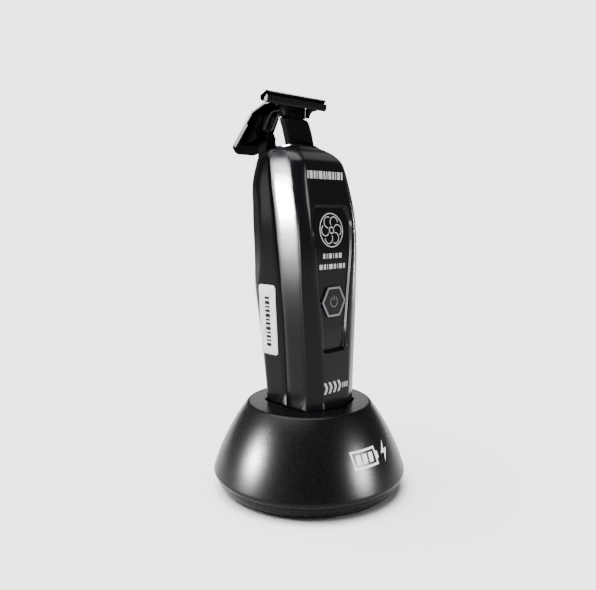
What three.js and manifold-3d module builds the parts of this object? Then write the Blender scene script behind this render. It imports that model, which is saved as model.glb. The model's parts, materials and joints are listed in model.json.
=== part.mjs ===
// Cordless T-blade hair trimmer standing in its round charging dock.
// Millimetres, +Z up, button side towards -Y, origin at the centre of the dock's underside.
import * as THREE from "three";
import { mergeVertices } from "three/addons/utils/BufferGeometryUtils.js";
import Module from "manifold-3d";

const wasm = await Module();
wasm.setup();

// ---------------------------------------------------------------- driving dimensions
const GAP = 0.3; // running gap between neighbouring pieces
const WALL = 2.2; // moulded wall of the trimmer's shells
const FRONT_WALL = 4.2; // thicker wall behind the sunken front panel
const ROUND = 32; // segments of a round piece
const MERGE = 1e-4; // distance under which vertices are one

// Body sections by height: half width, side corner, front face half width, front face, back, back radius.
const SECTIONS = [
  { z: 15, w: 16.4, yc: -14.4, xb: 9.2, yf: -18.4, yb: 15.4, rr: 4 },
  { z: 43, w: 16.4, yc: -14.4, xb: 9.2, yf: -18.4, yb: 15.4, rr: 4 },
  { z: 60, w: 17.2, yc: -14.3, xb: 10.0, yf: -18.0, yb: 17.0, rr: 5 },
  { z: 80, w: 18.3, yc: -14.1, xb: 11.8, yf: -17.2, yb: 20.1, rr: 7 },
  { z: 100, w: 19.5, yc: -13.7, xb: 13.8, yf: -16.5, yb: 24.1, rr: 10 },
  { z: 120, w: 20.1, yc: -13.1, xb: 15.0, yf: -16.2, yb: 27.5, rr: 15 },
  { z: 135, w: 20.1, yc: -11.4, xb: 15.2, yf: -14.5, yb: 29.3, rr: 17 },
  { z: 150, w: 19.0, yc: -8.0, xb: 14.2, yf: -11.2, yb: 30.3, rr: 17 },
  { z: 158, w: 18.0, yc: -5.5, xb: 13.2, yf: -9.2, yb: 28.9, rr: 17 },
  { z: 161, w: 17.3, yc: -3.3, xb: 12.2, yf: -6.6, yb: 27.7, rr: 16 },
  { z: 163.5, w: 15.6, yc: -0.6, xb: 10.6, yf: -3.6, yb: 25.7, rr: 14.5 },
  { z: 165.3, w: 13.0, yc: 2.0, xb: 8.4, yf: -0.6, yb: 21.6, rr: 12 },
  { z: 166.5, w: 8.8, yc: 3.5, xb: 5.0, yf: 0.5, yb: 15.7, rr: 8 },
];
const BODY_RINGS = [
  15, 43, 52, 60, 70, 80, 90, 100, 110, 120, 128, 135, 143, 150, 158, 161, 163.5, 165.3, 166.5,
];
const BODY_BOTTOM = 15;
const CAVITY = { bottom: 17.4, top: 162 };
const SEAM = [
  [-1.7, 10], [-1.7, 43], [-1.65, 60], [-1.4, 80], [-0.5, 100], [1.2, 120], [3.2, 135], [6.7, 150],
  [8.6, 158], [11.2, 168],
];
const SEAM_REACH = 40;

// Sunken front panel: height and half width, from its lower edge to its pointed top.
const PANEL = [
  { z: 69.5, w: 7.6 }, { z: 71, w: 8.4 }, { z: 79, w: 8.2 }, { z: 93, w: 9.9 }, { z: 106, w: 11.6 },
  { z: 122, w: 13.0 }, { z: 130, w: 13.7 }, { z: 132, w: 13.4 }, { z: 138.6, w: 10.2 },
];
const PANEL_DEPTH = 1.2;
const PANEL_SLOPE = 0.9;
const RAMP = { top: 82, bottom: 71, depth: 1.0 };

const BUTTON = {
  z: 93.4, radius: 8.08, hole: 8.6, centre: 6.7, ringInner: 7.0,
  face: -16.35, ringFace: -16.5, step: -15.6, back: -14.3,
};
const HEX = 6;
const SWITCH = { w: 6, h: 6, front: -13.4, back: -11.5 };
const BOARD = { w: 20, d: 1.6, y: -10.4, bottom: 48, top: 112 };
const BATTERY = { radius: 9.2, y: 1.6, bottom: 24, top: 89 };
const CRADLE = { w: 21.6, front: 3.0, back: 12.4, bottom: 57, top: 86 };
const CONTACT = { x: 6, y: 2, radius: 1.8, bottom: 16, top: 17.2 };
const LABEL = { bottom: 67, top: 101, front: 3.3, back: 14.7, thick: 0.4 };
const SHELL_SCREW = { head: 2.2, shank: 1.1, headThick: 1.6, length: 7, boss: 3.2, recess: 2.4 };
const SHELL_SCREWS = [
  { name: "shell_screw_low_left", x: -11, z: 50, back: 15.9 },
  { name: "shell_screw_low_right", x: 11, z: 50, back: 15.9 },
  { name: "shell_screw_high_left", x: -8, z: 134, back: 28.5 },
  { name: "shell_screw_high_right", x: 8, z: 134, back: 28.5 },
];

// Drive train: brushless motor, eccentric, swinging lever and its housing, the front post of the neck.
const MOTOR = { y: 6.5, radius: 10.5, wall: 1.0, bottom: 112, top: 137.2 };
const STATOR = { inner: 6.7, outer: 9.2, bottom: 115, top: 134 };
const MAGNET = { radius: 6.2, bottom: 116, top: 133.5 };
const SHAFT = { radius: 1.1, bore: 1.4, bottom: 112.4, top: 144.4 };
const COVER = { bottom: 137.5, top: 139 };
const MOUNT_PLATE = { w: 24, front: -6, back: 19, bottom: 139.3, top: 141.2, hole: 3.4 };
const CAM = { radius: 3.6, bottom: 142.2, top: 145.4, pin: 0.8, offset: 0.8, pinTop: 151.2 };
const PIVOT = { z: 162.5, radius: 1.0, hole: 1.3, front: 3.9, back: 8.4 };
const LEVER = { thick: 1.2, slot: 2.7, foot: 4.1, footDeep: 7, footBottom: 146.4, bridge: 151.6, top: 183.2 };
const LEVER_LINE = [[6.8, 151.6], [6.8, 167], [9.0, 175], [10.9, 179], [11.4, 181.2], [11.4, 183.2]];
const HOUSING = { half: 8.1, channel: 4.2, flange: 10.5, flangeTop: 158.4, bottom: 156.6 };
const HOUSING_FRONT = [
  [4.1, 156.6], [4.2, 167], [5.0, 171], [6.3, 175], [7.5, 178], [8.3, 179.4], [9.4, 180.3], [10.4, 180.5],
];
const CHANNEL_FRONT = [
  [5.6, 155], [5.7, 167], [6.5, 171], [7.6, 175], [8.9, 178], [9.6, 179.3], [9.8, 183],
];
const HOUSING_BACK = [[12.9, 180.5], [12.2, 178.8], [10.7, 175], [8.6, 167], [8.5, 156.6]];

// Head, in side profiles of [y, z]: a T-shaped fixed blade on a narrow sloping plate over a single neck post.
const FIXED_BAR = [[8.1, 191.1], [12.6, 189.0], [11.6, 187.9], [9.2, 189.2]];
const END_LUG = {
  width: 2.2, line: [[10.6, 189.7], [12.5, 188.8], [12.5, 187.4], [11.7, 186.5], [10.6, 186.9]],
};
const FIXED_STEM = [
  [10.4, 190.0], [12.6, 189.0], [22.2, 188.2], [31.2, 184.9], [30.9, 184.1], [22, 187.35], [12.6, 188.0],
  [10.6, 188.8],
];
const BLADE = { half: 20, stem: 9.4, shoulder: 12.5, barBack: 12.6, waist: 17.5 };
const TEETH = { pitch: 1.32, count: 30, gap: 0.5, back: 10.4 };
const CUTTER_BAR = [[7.5, 188.9], [8.0, 185.4], [10.0, 185.9], [9.5, 187.6], [8.4, 188.7]];
const CUTTER = { half: 20, low: 18.6, lowZ: 184.6, teethLow: 186.4 };
const SHOULDER = { top: 185.6, bottom: 181.0, inner: 6.8, wide: 13, narrow: 8.2, front: 8.0, back: 9.6 };
const CARRIER = {
  w: 15, front: 10.35, back: 13.2, bottom: 180.8, top: 187.0, slot: 1.9, slotBack: 12.4, slotTop: 184.2,
};
const PLATE = { half: 9.4, thin: 1.0, thick: 2.2, stepAt: 6, corner: 5 };
const PLATE_LINE = [[31.6, 184.5], [49.0, 166.9]];
const SCREW_ROW = { x: 4.3, along: 6.5, head: 2.3, headThick: 1.1, shank: 1.1, length: 4.6 };
const SEAT = { half: 6.4, line: [[28.0, 183.0], [32.2, 175.6], [30.2, 172.2], [44, 169.4], [44, 183.0]] };
const POST = {
  low: 4.4, high: 2.2, front: 27, back: 32.3, bottom: 148, waist: 164, top: 174.4, foot: 5, footHigh: 4,
};
const SPRING_WIRE = 0.5;
const SPRING_LINE = [[2.5, 30.4, 176.6], [2.5, 27.2, 181.0], [2.5, 24.2, 184.4], [2.5, 20.0, 185.0],
  [2.3, 15.6, 184.8], [0, 14.4, 184.6]];

// Dock.
const DOCK = {
  top: 42.8, topRadius: 30.4, wide: 47.84, wideZ: 9, edge: 6.5, edgeRadius: 46.4, sag: 1.75, wall: 2,
};
const BASE = { lipRadius: 9, lipCentre: 38.8, under: 0.8, top: 6.2, floor: 3.0, inner: 43.2 };
const PAD = { radius: 34, top: 1.6 };
const SOCKET = { clearance: 0.6, wall: 1.8, top: 40.4, floor: 14.6, bottom: 12.6 };
const BALLAST = { inner: 8, outer: 36, bottom: 3.4, top: 5.6 };
const DOCK_BOARD = { w: 30, d: 22, bottom: 7.4, top: 9.0, y: 6 };
const PIN = { radius: 0.9, hole: 1.3, bottom: 10.6, top: 15.3, collar: 1.6, collarTop: 12.2, travel: 0.6 };
const PIN_BLOCK = { w: 18, d: 6, bottom: 9.4, top: 12.3 };
const INLET = { w: 9.4, h: 3.8, front: 37, back: 45.6, z: 13.5, wall: 0.7, tongue: 0.8, reach: 6.5 };
const DOCK_SCREW = {
  head: 2.8, headThick: 1.6, shank: 1.3, ring: 38.5, top: 11, boss: 3.4, hole: 1.6, bossTop: 22,
};
const DOCK_SCREW_ANGLES = { dock_screw_front: -90, dock_screw_left: 150, dock_screw_right: 30 };

// ---------------------------------------------------------------- solids
function toSolid(geometry) {
  const loose = geometry.index ? geometry.toNonIndexed() : geometry;
  const bare = new THREE.BufferGeometry().setAttribute("position", loose.getAttribute("position"));
  const merged = mergeVertices(bare, MERGE);
  const mesh = new wasm.Mesh({
    numProp: 3,
    vertProperties: merged.attributes.position.array,
    triVerts: new Uint32Array(merged.index.array),
  });
  return new wasm.Manifold(mesh);
}

function toGeometry(solid) {
  const mesh = solid.getMesh();
  const geometry = new THREE.BufferGeometry();
  geometry.setAttribute("position", new THREE.BufferAttribute(mesh.vertProperties, 3));
  geometry.setIndex(new THREE.BufferAttribute(mesh.triVerts, 1));
  geometry.computeVertexNormals();
  return geometry;
}

const join = (first, ...rest) => rest.reduce((all, next) => all.add(next), first);
const cut = (first, ...rest) => rest.reduce((all, next) => all.subtract(next), first);

// A box from its low corner to its high corner.
function block(low, high) {
  const size = high.map((value, i) => value - low[i]);
  const geometry = new THREE.BoxGeometry(...size);
  geometry.translate(...low.map((value, i) => value + size[i] / 2));
  return toSolid(geometry);
}

// An upright round bar.
function post(radius, bottom, top, x = 0, y = 0, segments = ROUND) {
  const geometry = new THREE.CylinderGeometry(radius, radius, top - bottom, segments);
  geometry.rotateX(Math.PI / 2);
  geometry.translate(x, y, (bottom + top) / 2);
  return toSolid(geometry);
}

// A round bar along Y.
function rod(radius, front, back, x, z, segments = ROUND) {
  const geometry = new THREE.CylinderGeometry(radius, radius, back - front, segments);
  geometry.translate(x, (front + back) / 2, z);
  return toSolid(geometry);
}

// A hexagonal bar along Y with a corner on each side.
function hexBar(radius, front, back, z) {
  const geometry = new THREE.CylinderGeometry(radius, radius, back - front, HEX);
  geometry.rotateY(Math.PI / 2);
  geometry.translate(0, (front + back) / 2, z);
  return toSolid(geometry);
}

// A turned piece about Z from its closed outline of [radius, height] points.
function turned(points, segments = ROUND) {
  const outline = [...points, points[0]].map(([r, z]) => new THREE.Vector2(r, z));
  const geometry = new THREE.LatheGeometry(outline, segments);
  geometry.rotateX(Math.PI / 2);
  return toSolid(geometry);
}

// A slab: an outline of [x, y] points raised from low to high.
function slab(points, low, high) {
  const shape = new THREE.Shape(points.map(([x, y]) => new THREE.Vector2(x, y)));
  const geometry = new THREE.ExtrudeGeometry(shape, { depth: high - low, bevelEnabled: false });
  geometry.translate(0, 0, low);
  return toSolid(geometry);
}

// A side profile of [y, z] points carried along X from left to right.
function sideProfile(points, left, right) {
  const shape = new THREE.Shape(points.map(([y, z]) => new THREE.Vector2(y, z)));
  const geometry = new THREE.ExtrudeGeometry(shape, { depth: right - left, bevelEnabled: false });
  geometry.applyMatrix4(new THREE.Matrix4().set(0, 0, 1, left, 1, 0, 0, 0, 0, 1, 0, 0, 0, 0, 0, 1));
  return toSolid(geometry);
}

// A front profile of [x, z] points carried along Y from front to back.
function frontProfile(points, front, back) {
  const shape = new THREE.Shape(points.map(([x, z]) => new THREE.Vector2(x, z)));
  const geometry = new THREE.ExtrudeGeometry(shape, { depth: back - front, bevelEnabled: false });
  geometry.rotateX(Math.PI / 2);
  geometry.translate(0, back, 0);
  return toSolid(geometry);
}

// A skin over equal rings of [x, y, z] points, closed at both ends.
function loft(rings) {
  const count = rings[0].length;
  const flat = rings.flat(2);
  const index = [];
  for (let k = 0; k + 1 < rings.length; k++) {
    for (let i = 0; i < count; i++) {
      const a = k * count + i;
      const b = k * count + ((i + 1) % count);
      index.push(a, b, b + count, a, b + count, a + count);
    }
  }
  const cap = THREE.ShapeUtils.triangulateShape(rings[0].map(([x, y]) => new THREE.Vector2(x, y)), []);
  const last = (rings.length - 1) * count;
  cap.forEach(([a, b, c]) => index.push(c, b, a, last + a, last + b, last + c));
  const geometry = new THREE.BufferGeometry();
  geometry.setAttribute("position", new THREE.Float32BufferAttribute(flat, 3));
  geometry.setIndex(index);
  return toSolid(geometry);
}

// ---------------------------------------------------------------- body form
// Smooth value of one section dimension at height z, with a natural slope at each section.
function sectionValue(table, key, z) {
  const last = table.length - 1;
  const at = Math.max(0, table.findLastIndex((row) => row.z <= z));
  const k = Math.min(at, last - 1);
  const slope = (i) => {
    const low = table[Math.max(0, i - 1)];
    const high = table[Math.min(last, i + 1)];
    return (high[key] - low[key]) / (high.z - low.z);
  };
  const span = table[k + 1].z - table[k].z;
  const t = Math.min(1, Math.max(0, (z - table[k].z) / span));
  const rise = t * t * (3 - 2 * t);
  const start = t * (1 - t) * (1 - t) * span * slope(k);
  const finish = t * t * (t - 1) * span * slope(k + 1);
  return table[k][key] * (1 - rise) + table[k + 1][key] * rise + start + finish;
}

function section(z) {
  if (z <= SECTIONS[1].z) return SECTIONS[1];
  const keys = Object.keys(SECTIONS[0]).filter((key) => key !== "z");
  return Object.fromEntries(keys.map((key) => [key, sectionValue(SECTIONS, key, z)]));
}

// One level outline of the body, grown outwards by grow, with the front face moved by frontGrow.
function bodyOutline(z, grow = 0, frontGrow = grow) {
  const s = section(z);
  const w = s.w + grow;
  const yb = s.yb + grow;
  const yf = s.yf - frontGrow;
  const yc = s.yc - frontGrow * 0.8;
  const xb = s.xb + grow * 0.6;
  const rr = Math.max(0.8, s.rr + grow * 0.5);
  const half = [[xb * 0.5, yf], [xb, yf]];
  half.push([xb + (w - xb) * 0.85, yf + (yc - yf) * 0.72], [w, yc + 0.6]);
  half.push([w, (yc + yb - rr) / 2]);
  const turns = 6;
  for (let i = 0; i <= turns; i++) {
    const a = (i / turns) * (Math.PI / 2);
    half.push([w - rr + rr * Math.cos(a), yb - rr + rr * Math.sin(a)]);
  }
  const mirrored = half.map(([x, y]) => [-x, y]).reverse();
  return [...half, ...mirrored];
}

function bodyForm(grow, frontGrow, heights) {
  return loft(heights.map((z) => bodyOutline(z, grow, frontGrow).map(([x, y]) => [x, y, z])));
}

// The space in front of the seam, moved back by shift.
function frontSpace(shift) {
  const seam = SEAM.map(([y, z]) => [y + shift, z]);
  const top = SEAM.at(-1)[1];
  const bottom = SEAM[0][1];
  return sideProfile([[-SEAM_REACH, bottom], ...seam, [-SEAM_REACH, top]], -SEAM_REACH, SEAM_REACH);
}

// The sunken panel: sloped walls, a floor that follows the face, and a thumb ramp at its lower end.
function panelSink() {
  const rings = [];
  const low = PANEL[0].z;
  const high = PANEL.at(-1).z;
  const steps = 18;
  for (let i = 0; i <= steps; i++) {
    const z = low + ((high - low) * i) / steps;
    const half = sectionValue(PANEL, "w", z);
    const face = section(z).yf;
    const ramp = THREE.MathUtils.clamp((RAMP.top - z) / (RAMP.top - RAMP.bottom), 0, 1);
    const floor = face + PANEL_DEPTH + RAMP.depth * ramp;
    const inner = half - PANEL_SLOPE;
    rings.push([[half, face - 2, z], [half, face, z], [inner, floor, z], [-inner, floor, z], [-half, face, z],
      [-half, face - 2, z]]);
  }
  return loft(rings);
}

const shellOuter = bodyForm(0, 0, BODY_RINGS);
const cavityRings = BODY_RINGS.filter((z) => z > BODY_BOTTOM && z < CAVITY.top);
const shellInner = bodyForm(-WALL, -FRONT_WALL, [CAVITY.bottom, ...cavityRings, CAVITY.top]);

function neckHoles() {
  const housing = block([-HOUSING.half - GAP, 3.7, 155], [HOUSING.half + GAP, 9.2, 170]);
  const neck = block([-POST.low - GAP, POST.front - GAP, POST.bottom - GAP], [POST.low + GAP, 40, 170]);
  return join(housing, neck);
}

function frontShell() {
  const skin = shellOuter.intersect(frontSpace(-GAP / 2)).subtract(shellInner);
  const button = hexBar(BUTTON.hole, -SEAM_REACH, BOARD.y, BUTTON.z);
  return cut(skin, panelSink(), button, neckHoles());
}

function rearShell() {
  const skin = cut(shellOuter, frontSpace(GAP / 2), shellInner);
  const { boss, shank, head, recess, length } = SHELL_SCREW;
  const bosses = SHELL_SCREWS.map(({ x, z, back }) => rod(boss, back - length, back - 1, x, z));
  const holes = SHELL_SCREWS.flatMap(({ x, z, back }) => [
    rod(shank + GAP, back - length - 1, back + 2, x, z),
    rod(head + GAP, back - recess, back + 2, x, z),
  ]);
  const contacts = [-CONTACT.x, CONTACT.x].flatMap((x) => [
    post(CONTACT.radius + GAP, BODY_BOTTOM - 1, CAVITY.bottom + 1, x, CONTACT.y),
  ]);
  return cut(join(skin, ...bosses), ...holes, ...contacts, neckHoles());
}

// ---------------------------------------------------------------- clipper pieces
function shellScrew({ x, z, back }) {
  const { head, headThick, shank, length, recess } = SHELL_SCREW;
  const seat = back - recess + GAP;
  const cap = rod(head, seat, seat + headThick, x, z, 20);
  return cap.add(rod(shank, seat - length + recess, seat + 0.2, x, z, 12));
}

function buttonCap() {
  const flange = hexBar(BUTTON.radius, BUTTON.step, BUTTON.back, BUTTON.z);
  return flange.add(hexBar(BUTTON.centre, BUTTON.face, BUTTON.step + 0.2, BUTTON.z));
}

function buttonRing() {
  const outer = hexBar(BUTTON.radius, BUTTON.ringFace, BUTTON.step - GAP, BUTTON.z);
  return outer.subtract(hexBar(BUTTON.ringInner, BUTTON.ringFace - 1, BUTTON.step, BUTTON.z));
}

const tactileSwitch = () =>
  block(
    [-SWITCH.w / 2, SWITCH.front, BUTTON.z - SWITCH.h / 2],
    [SWITCH.w / 2, SWITCH.back, BUTTON.z + SWITCH.h / 2],
  );

const mainBoard = () =>
  block(
    [-BOARD.w / 2, BOARD.y - BOARD.d / 2, BOARD.bottom],
    [BOARD.w / 2, BOARD.y + BOARD.d / 2, BOARD.top],
  );

function batteryCell() {
  const terminal = post(BATTERY.radius / 3, BATTERY.top - 1, BATTERY.top + 0.8, 0, BATTERY.y, 20);
  return post(BATTERY.radius, BATTERY.bottom, BATTERY.top, 0, BATTERY.y).add(terminal);
}

function batteryCradle() {
  const tray = block([-CRADLE.w / 2, CRADLE.front, CRADLE.bottom], [CRADLE.w / 2, CRADLE.back, CRADLE.top]);
  return tray.subtract(post(BATTERY.radius + GAP, CRADLE.bottom - 1, CRADLE.top + 1, 0, BATTERY.y));
}

const chargeContact = (x) => post(CONTACT.radius, CONTACT.bottom, CONTACT.top, x, CONTACT.y, 20);

// The label follows the flat left side of the rear shell.
function serialLabel() {
  const steps = 5;
  const rings = [];
  for (let i = 0; i <= steps; i++) {
    const z = LABEL.bottom + ((LABEL.top - LABEL.bottom) * i) / steps;
    const skin = -section(z).w - GAP;
    rings.push([
      [skin - LABEL.thick, LABEL.front, z], [skin, LABEL.front, z],
      [skin, LABEL.back, z], [skin - LABEL.thick, LABEL.back, z],
    ]);
  }
  return loft(rings);
}

// ---------------------------------------------------------------- drive
function motorCan() {
  const { radius, wall, bottom, top } = MOTOR;
  const cup = [[SHAFT.bore, bottom], [radius, bottom], [radius, top], [radius - wall, top],
    [radius - wall, bottom + wall], [SHAFT.bore, bottom + wall]];
  return turned(cup).translate([0, MOTOR.y, 0]);
}

const ring = (inner, outer, bottom, top) =>
  turned([[inner, bottom], [outer, bottom], [outer, top], [inner, top]]);
const motorRing = (inner, outer, bottom, top) => ring(inner, outer, bottom, top).translate([0, MOTOR.y, 0]);

function mountPlate() {
  const { w, front, back, bottom, top, hole } = MOUNT_PLATE;
  const plate = block([-w / 2, front, bottom], [w / 2, back, top]);
  return plate.subtract(post(hole, bottom - 1, top + 1, 0, MOTOR.y));
}

function eccentricCam() {
  const disc = post(CAM.radius, CAM.bottom, CAM.top, 0, MOTOR.y);
  const bore = post(SHAFT.bore, CAM.bottom - 1, SHAFT.top + GAP, 0, MOTOR.y);
  return disc.subtract(bore).add(post(CAM.pin, CAM.top - 0.3, CAM.pinTop, 0, MOTOR.y + CAM.offset, 16));
}

const offsetLine = (line, shift) => line.map(([y, z]) => [y + shift, z]);

function driveLever() {
  const half = LEVER.thick / 2;
  const strip = sideProfile(
    [...offsetLine(LEVER_LINE, half), ...offsetLine(LEVER_LINE, -half).reverse()],
    -LEVER.foot,
    LEVER.foot,
  );
  const hub = 3.2;
  const outline = [[-2.2, LEVER.bridge], [2.2, LEVER.bridge], [2.2, 158.4], [hub, 160.6], [hub, 164.4],
    [2.2, 166.5], [1.5, 180], [1.5, LEVER.top], [-1.5, LEVER.top], [-1.5, 180], [-2.2, 166.5], [-hub, 164.4],
    [-hub, 160.6], [-2.2, 158.4]];
  const arm = strip.intersect(frontProfile(outline, 0, 20));
  const footFront = MOTOR.y - LEVER.footDeep / 2;
  const footBack = MOTOR.y + LEVER.footDeep / 2;
  const foot = block([-LEVER.foot, footFront, LEVER.footBottom], [LEVER.foot, footBack, LEVER.bridge + 1.4]);
  const slotLow = [-LEVER.slot, footFront - 1, LEVER.footBottom - 1];
  const slot = block(slotLow, [LEVER.slot, footBack + 1, LEVER.bridge]);
  const pivot = rod(PIVOT.hole, 0, 20, 0, PIVOT.z, 20);
  return cut(arm.add(foot.subtract(slot)), pivot);
}

const pivotPin = () => rod(PIVOT.radius, PIVOT.front, PIVOT.back, 0, PIVOT.z, 20);

function driveHousing() {
  const { half, channel, flange, flangeTop, bottom } = HOUSING;
  const body = sideProfile([...HOUSING_FRONT, ...HOUSING_BACK], -half, half);
  const foot = block([-flange, HOUSING_FRONT[0][0], bottom], [flange, 10.2, flangeTop]);
  const groove = sideProfile([...CHANNEL_FRONT, [20, 183], [20, 155]], -channel, channel);
  return cut(body.add(foot), groove, rod(PIVOT.hole, 0, 20, 0, PIVOT.z, 20));
}

// ---------------------------------------------------------------- head
function cutterCarrier() {
  const { w, front, back, bottom, top, slot, slotBack, slotTop } = CARRIER;
  const body = block([-w / 2, front, bottom], [w / 2, back, top]);
  return body.subtract(block([-slot, front - 1, bottom - 1], [slot, slotBack, slotTop]));
}

// Slots between the comb teeth, from one height to another, open towards the front.
function combSlots(front, back, low, high) {
  const first = -((TEETH.count - 2) * TEETH.pitch) / 2;
  const slots = [];
  for (let i = 0; i + 1 < TEETH.count; i++) {
    const x = first + i * TEETH.pitch;
    slots.push(block([x - TEETH.gap / 2, front, low], [x + TEETH.gap / 2, back, high]));
  }
  return join(...slots);
}

function fixedBlade() {
  const { half, stem, shoulder, barBack, waist } = BLADE;
  const bar = sideProfile(FIXED_BAR, -half, half);
  const plate = sideProfile(FIXED_STEM, -half, half);
  const neck = [[waist, barBack], [shoulder, barBack + 1.6], [stem, barBack + 5]];
  const right = [[half, 10], [half, barBack - 1], ...neck, [stem, 40]];
  const left = right.map(([x, y]) => [-x, y]).reverse();
  const outline = slab([...right, ...left], 180, 195);
  const lugs = [-half, half - END_LUG.width].map((x) => sideProfile(END_LUG.line, x, x + END_LUG.width));
  return cut(join(bar, plate.intersect(outline), ...lugs), combSlots(0, TEETH.back, 180, 195));
}

// The front plate of the moving blade: a toothed bar with hollow shoulders that lead down to the housing.
function cutterBlade() {
  const { half, low, lowZ, teethLow } = CUTTER;
  const edge = [[-half, lowZ + 1.8], [-low, lowZ], [low, lowZ], [half, lowZ + 1.8]];
  const outline = [[-half, 195], ...edge, [half, 195]];
  const bar = sideProfile(CUTTER_BAR, -half, half).intersect(frontProfile(outline.reverse(), 0, 20));
  return cut(join(bar, cutterShoulder(1), cutterShoulder(-1)), combSlots(0, 8.6, teethLow, 195));
}

function cutterShoulder(side) {
  const { top, bottom, inner, wide, narrow, front, back } = SHOULDER;
  const outline = [[inner, bottom], [narrow, bottom]];
  const turns = 5;
  for (let i = 1; i <= turns; i++) {
    const a = (i / turns) * (Math.PI / 2);
    outline.push([wide - (wide - narrow) * Math.cos(a), bottom + (top - 0.6 - bottom) * Math.sin(a)]);
  }
  outline.push([wide, top], [inner, top]);
  const placed = side > 0 ? outline : outline.map(([x, z]) => [-x, z]).reverse();
  return frontProfile(placed, front, back);
}

// Unit steps along the sloping plate and square to its outer face, in [y, z].
function plateSteps() {
  const [[y0, z0], [y1, z1]] = PLATE_LINE;
  const run = Math.hypot(y1 - y0, z1 - z0);
  return { run, along: [(y1 - y0) / run, (z1 - z0) / run], out: [-(z1 - z0) / run, (y1 - y0) / run] };
}

// Lays a solid drawn flat (x across, y down the slope, z outwards) onto the sloping plate.
function ontoPlate(solid) {
  const { along, out } = plateSteps();
  const [y0, z0] = PLATE_LINE[0];
  const across = new THREE.Vector3(1, 0, 0);
  const place = new THREE.Matrix4()
    .makeBasis(across, new THREE.Vector3(0, ...along), new THREE.Vector3(0, ...out))
    .setPosition(0, y0, z0);
  return solid.transform(place.elements);
}

function roundedTail(half, start, end, corner) {
  const points = [[-half, start], [half, start]];
  const turns = 5;
  for (let i = 0; i <= turns; i++) {
    const a = (i / turns) * (Math.PI / 2);
    points.push([half - corner + corner * Math.cos(a), end - corner + corner * Math.sin(a)]);
  }
  const mirrored = points.slice(2).map(([x, y]) => [-x, y]).reverse();
  return [...points, ...mirrored];
}

const screwHoles = (low, high) =>
  [-SCREW_ROW.x, SCREW_ROW.x].map((x) => post(SCREW_ROW.shank + GAP, low, high, x, SCREW_ROW.along, 16));

function bladePlate() {
  const { run } = plateSteps();
  const { half, thin, thick, stepAt, corner } = PLATE;
  const plate = slab(roundedTail(half, GAP, run, corner), -thick, 0);
  const relief = block([-half - 1, -1, -thick - 1], [half + 1, stepAt, -thin]);
  return ontoPlate(cut(plate, relief, ...screwHoles(-thick - 1, 1)));
}

function bladeScrew(side) {
  const { x, along, head, headThick, shank, length } = SCREW_ROW;
  const cap = post(head, GAP, GAP + headThick, side * x, along, 20);
  return ontoPlate(cap.add(post(shank, GAP - length, GAP + 0.2, side * x, along, 12)));
}

// One spring wire bent into two parallel arms, joined across the moving blade's carrier.
function tensionSpring() {
  const right = SPRING_LINE.map(([x, y, z]) => new THREE.Vector3(x, y, z));
  const left = SPRING_LINE.slice(0, -1).reverse().map(([x, y, z]) => new THREE.Vector3(-x, y, z));
  const line = new THREE.CatmullRomCurve3([...right, ...left]);
  const wire = new THREE.Shape().absarc(0, 0, SPRING_WIRE, 0, Math.PI * 2, false);
  const geometry = new THREE.ExtrudeGeometry(wire, { steps: 40, curveSegments: 4, extrudePath: line });
  return toSolid(geometry);
}

// The neck: one post rising from the back of the body, with the seat block that carries the sloping plate.
function headBracket() {
  const { low, high, front, back, bottom, waist, top, foot, footHigh } = POST;
  const face = [[-low, bottom], [low, bottom], [low, waist], [high, top], [-high, top], [-low, waist]];
  const column = frontProfile(face, front, back);
  const tongue = block([-high, front - foot, bottom + 1], [high, front + 1, bottom + footHigh]);
  const seat = sideProfile(SEAT.line, -SEAT.half, SEAT.half);
  const under = ontoPlate(block([-30, -30, -40], [30, 60, -PLATE.thick - GAP]));
  const holes = ontoPlate(join(...screwHoles(-SCREW_ROW.length - 2, 1)));
  return cut(join(column, tongue, seat.intersect(under)), holes);
}

// ---------------------------------------------------------------- dock pieces
// Points of the dome's flank from its flat top down to its widest ring, moved inwards by inset.
function flank(inset) {
  const rise = DOCK.top - DOCK.wideZ;
  const run = DOCK.wide - DOCK.topRadius;
  const chord = Math.hypot(rise, run);
  const steps = 8;
  const points = [];
  for (let i = 0; i <= steps; i++) {
    const t = i / steps;
    const bulge = 4 * DOCK.sag * t * (1 - t) - inset;
    points.push([
      DOCK.topRadius + run * t + (bulge * rise) / chord,
      DOCK.top - rise * t + (bulge * run) / chord,
    ]);
  }
  return points;
}

function dockShell() {
  const outside = [[DOCK.topRadius - 1.2, DOCK.top], ...flank(0), [DOCK.edgeRadius, DOCK.edge]];
  const inside = [[DOCK.edgeRadius - DOCK.wall, DOCK.edge], ...flank(DOCK.wall).reverse()];
  inside[inside.length - 1][1] = DOCK.top - DOCK.wall;
  const dome = turned([[0, DOCK.top], ...outside, ...inside, [0, DOCK.top - DOCK.wall]].reverse(), 48);
  const mouth = socketForm(SOCKET.clearance, DOCK.top - 6, DOCK.top + 1);
  const inlet = block([-INLET.w / 2 - GAP, INLET.front, INLET.z - INLET.h / 2 - GAP],
    [INLET.w / 2 + GAP, 50, INLET.z + INLET.h / 2 + GAP]);
  const bosses = dockScrewPlaces().map(([x, y]) => post(DOCK_SCREW.boss, 8, DOCK_SCREW.bossTop, x, y, 20));
  const filled = [[0, DOCK.edge], [DOCK.edgeRadius, DOCK.edge], ...flank(0).reverse(), [0, DOCK.top]];
  const solidDome = turned(filled, 48);
  const holes = dockScrewPlaces().map(([x, y]) => post(DOCK_SCREW.hole, 6, DOCK_SCREW.top + 1, x, y, 16));
  const inner = bosses.map((boss) => boss.intersect(solidDome));
  return cut(join(dome, ...inner), mouth, inlet, ...holes);
}

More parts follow.
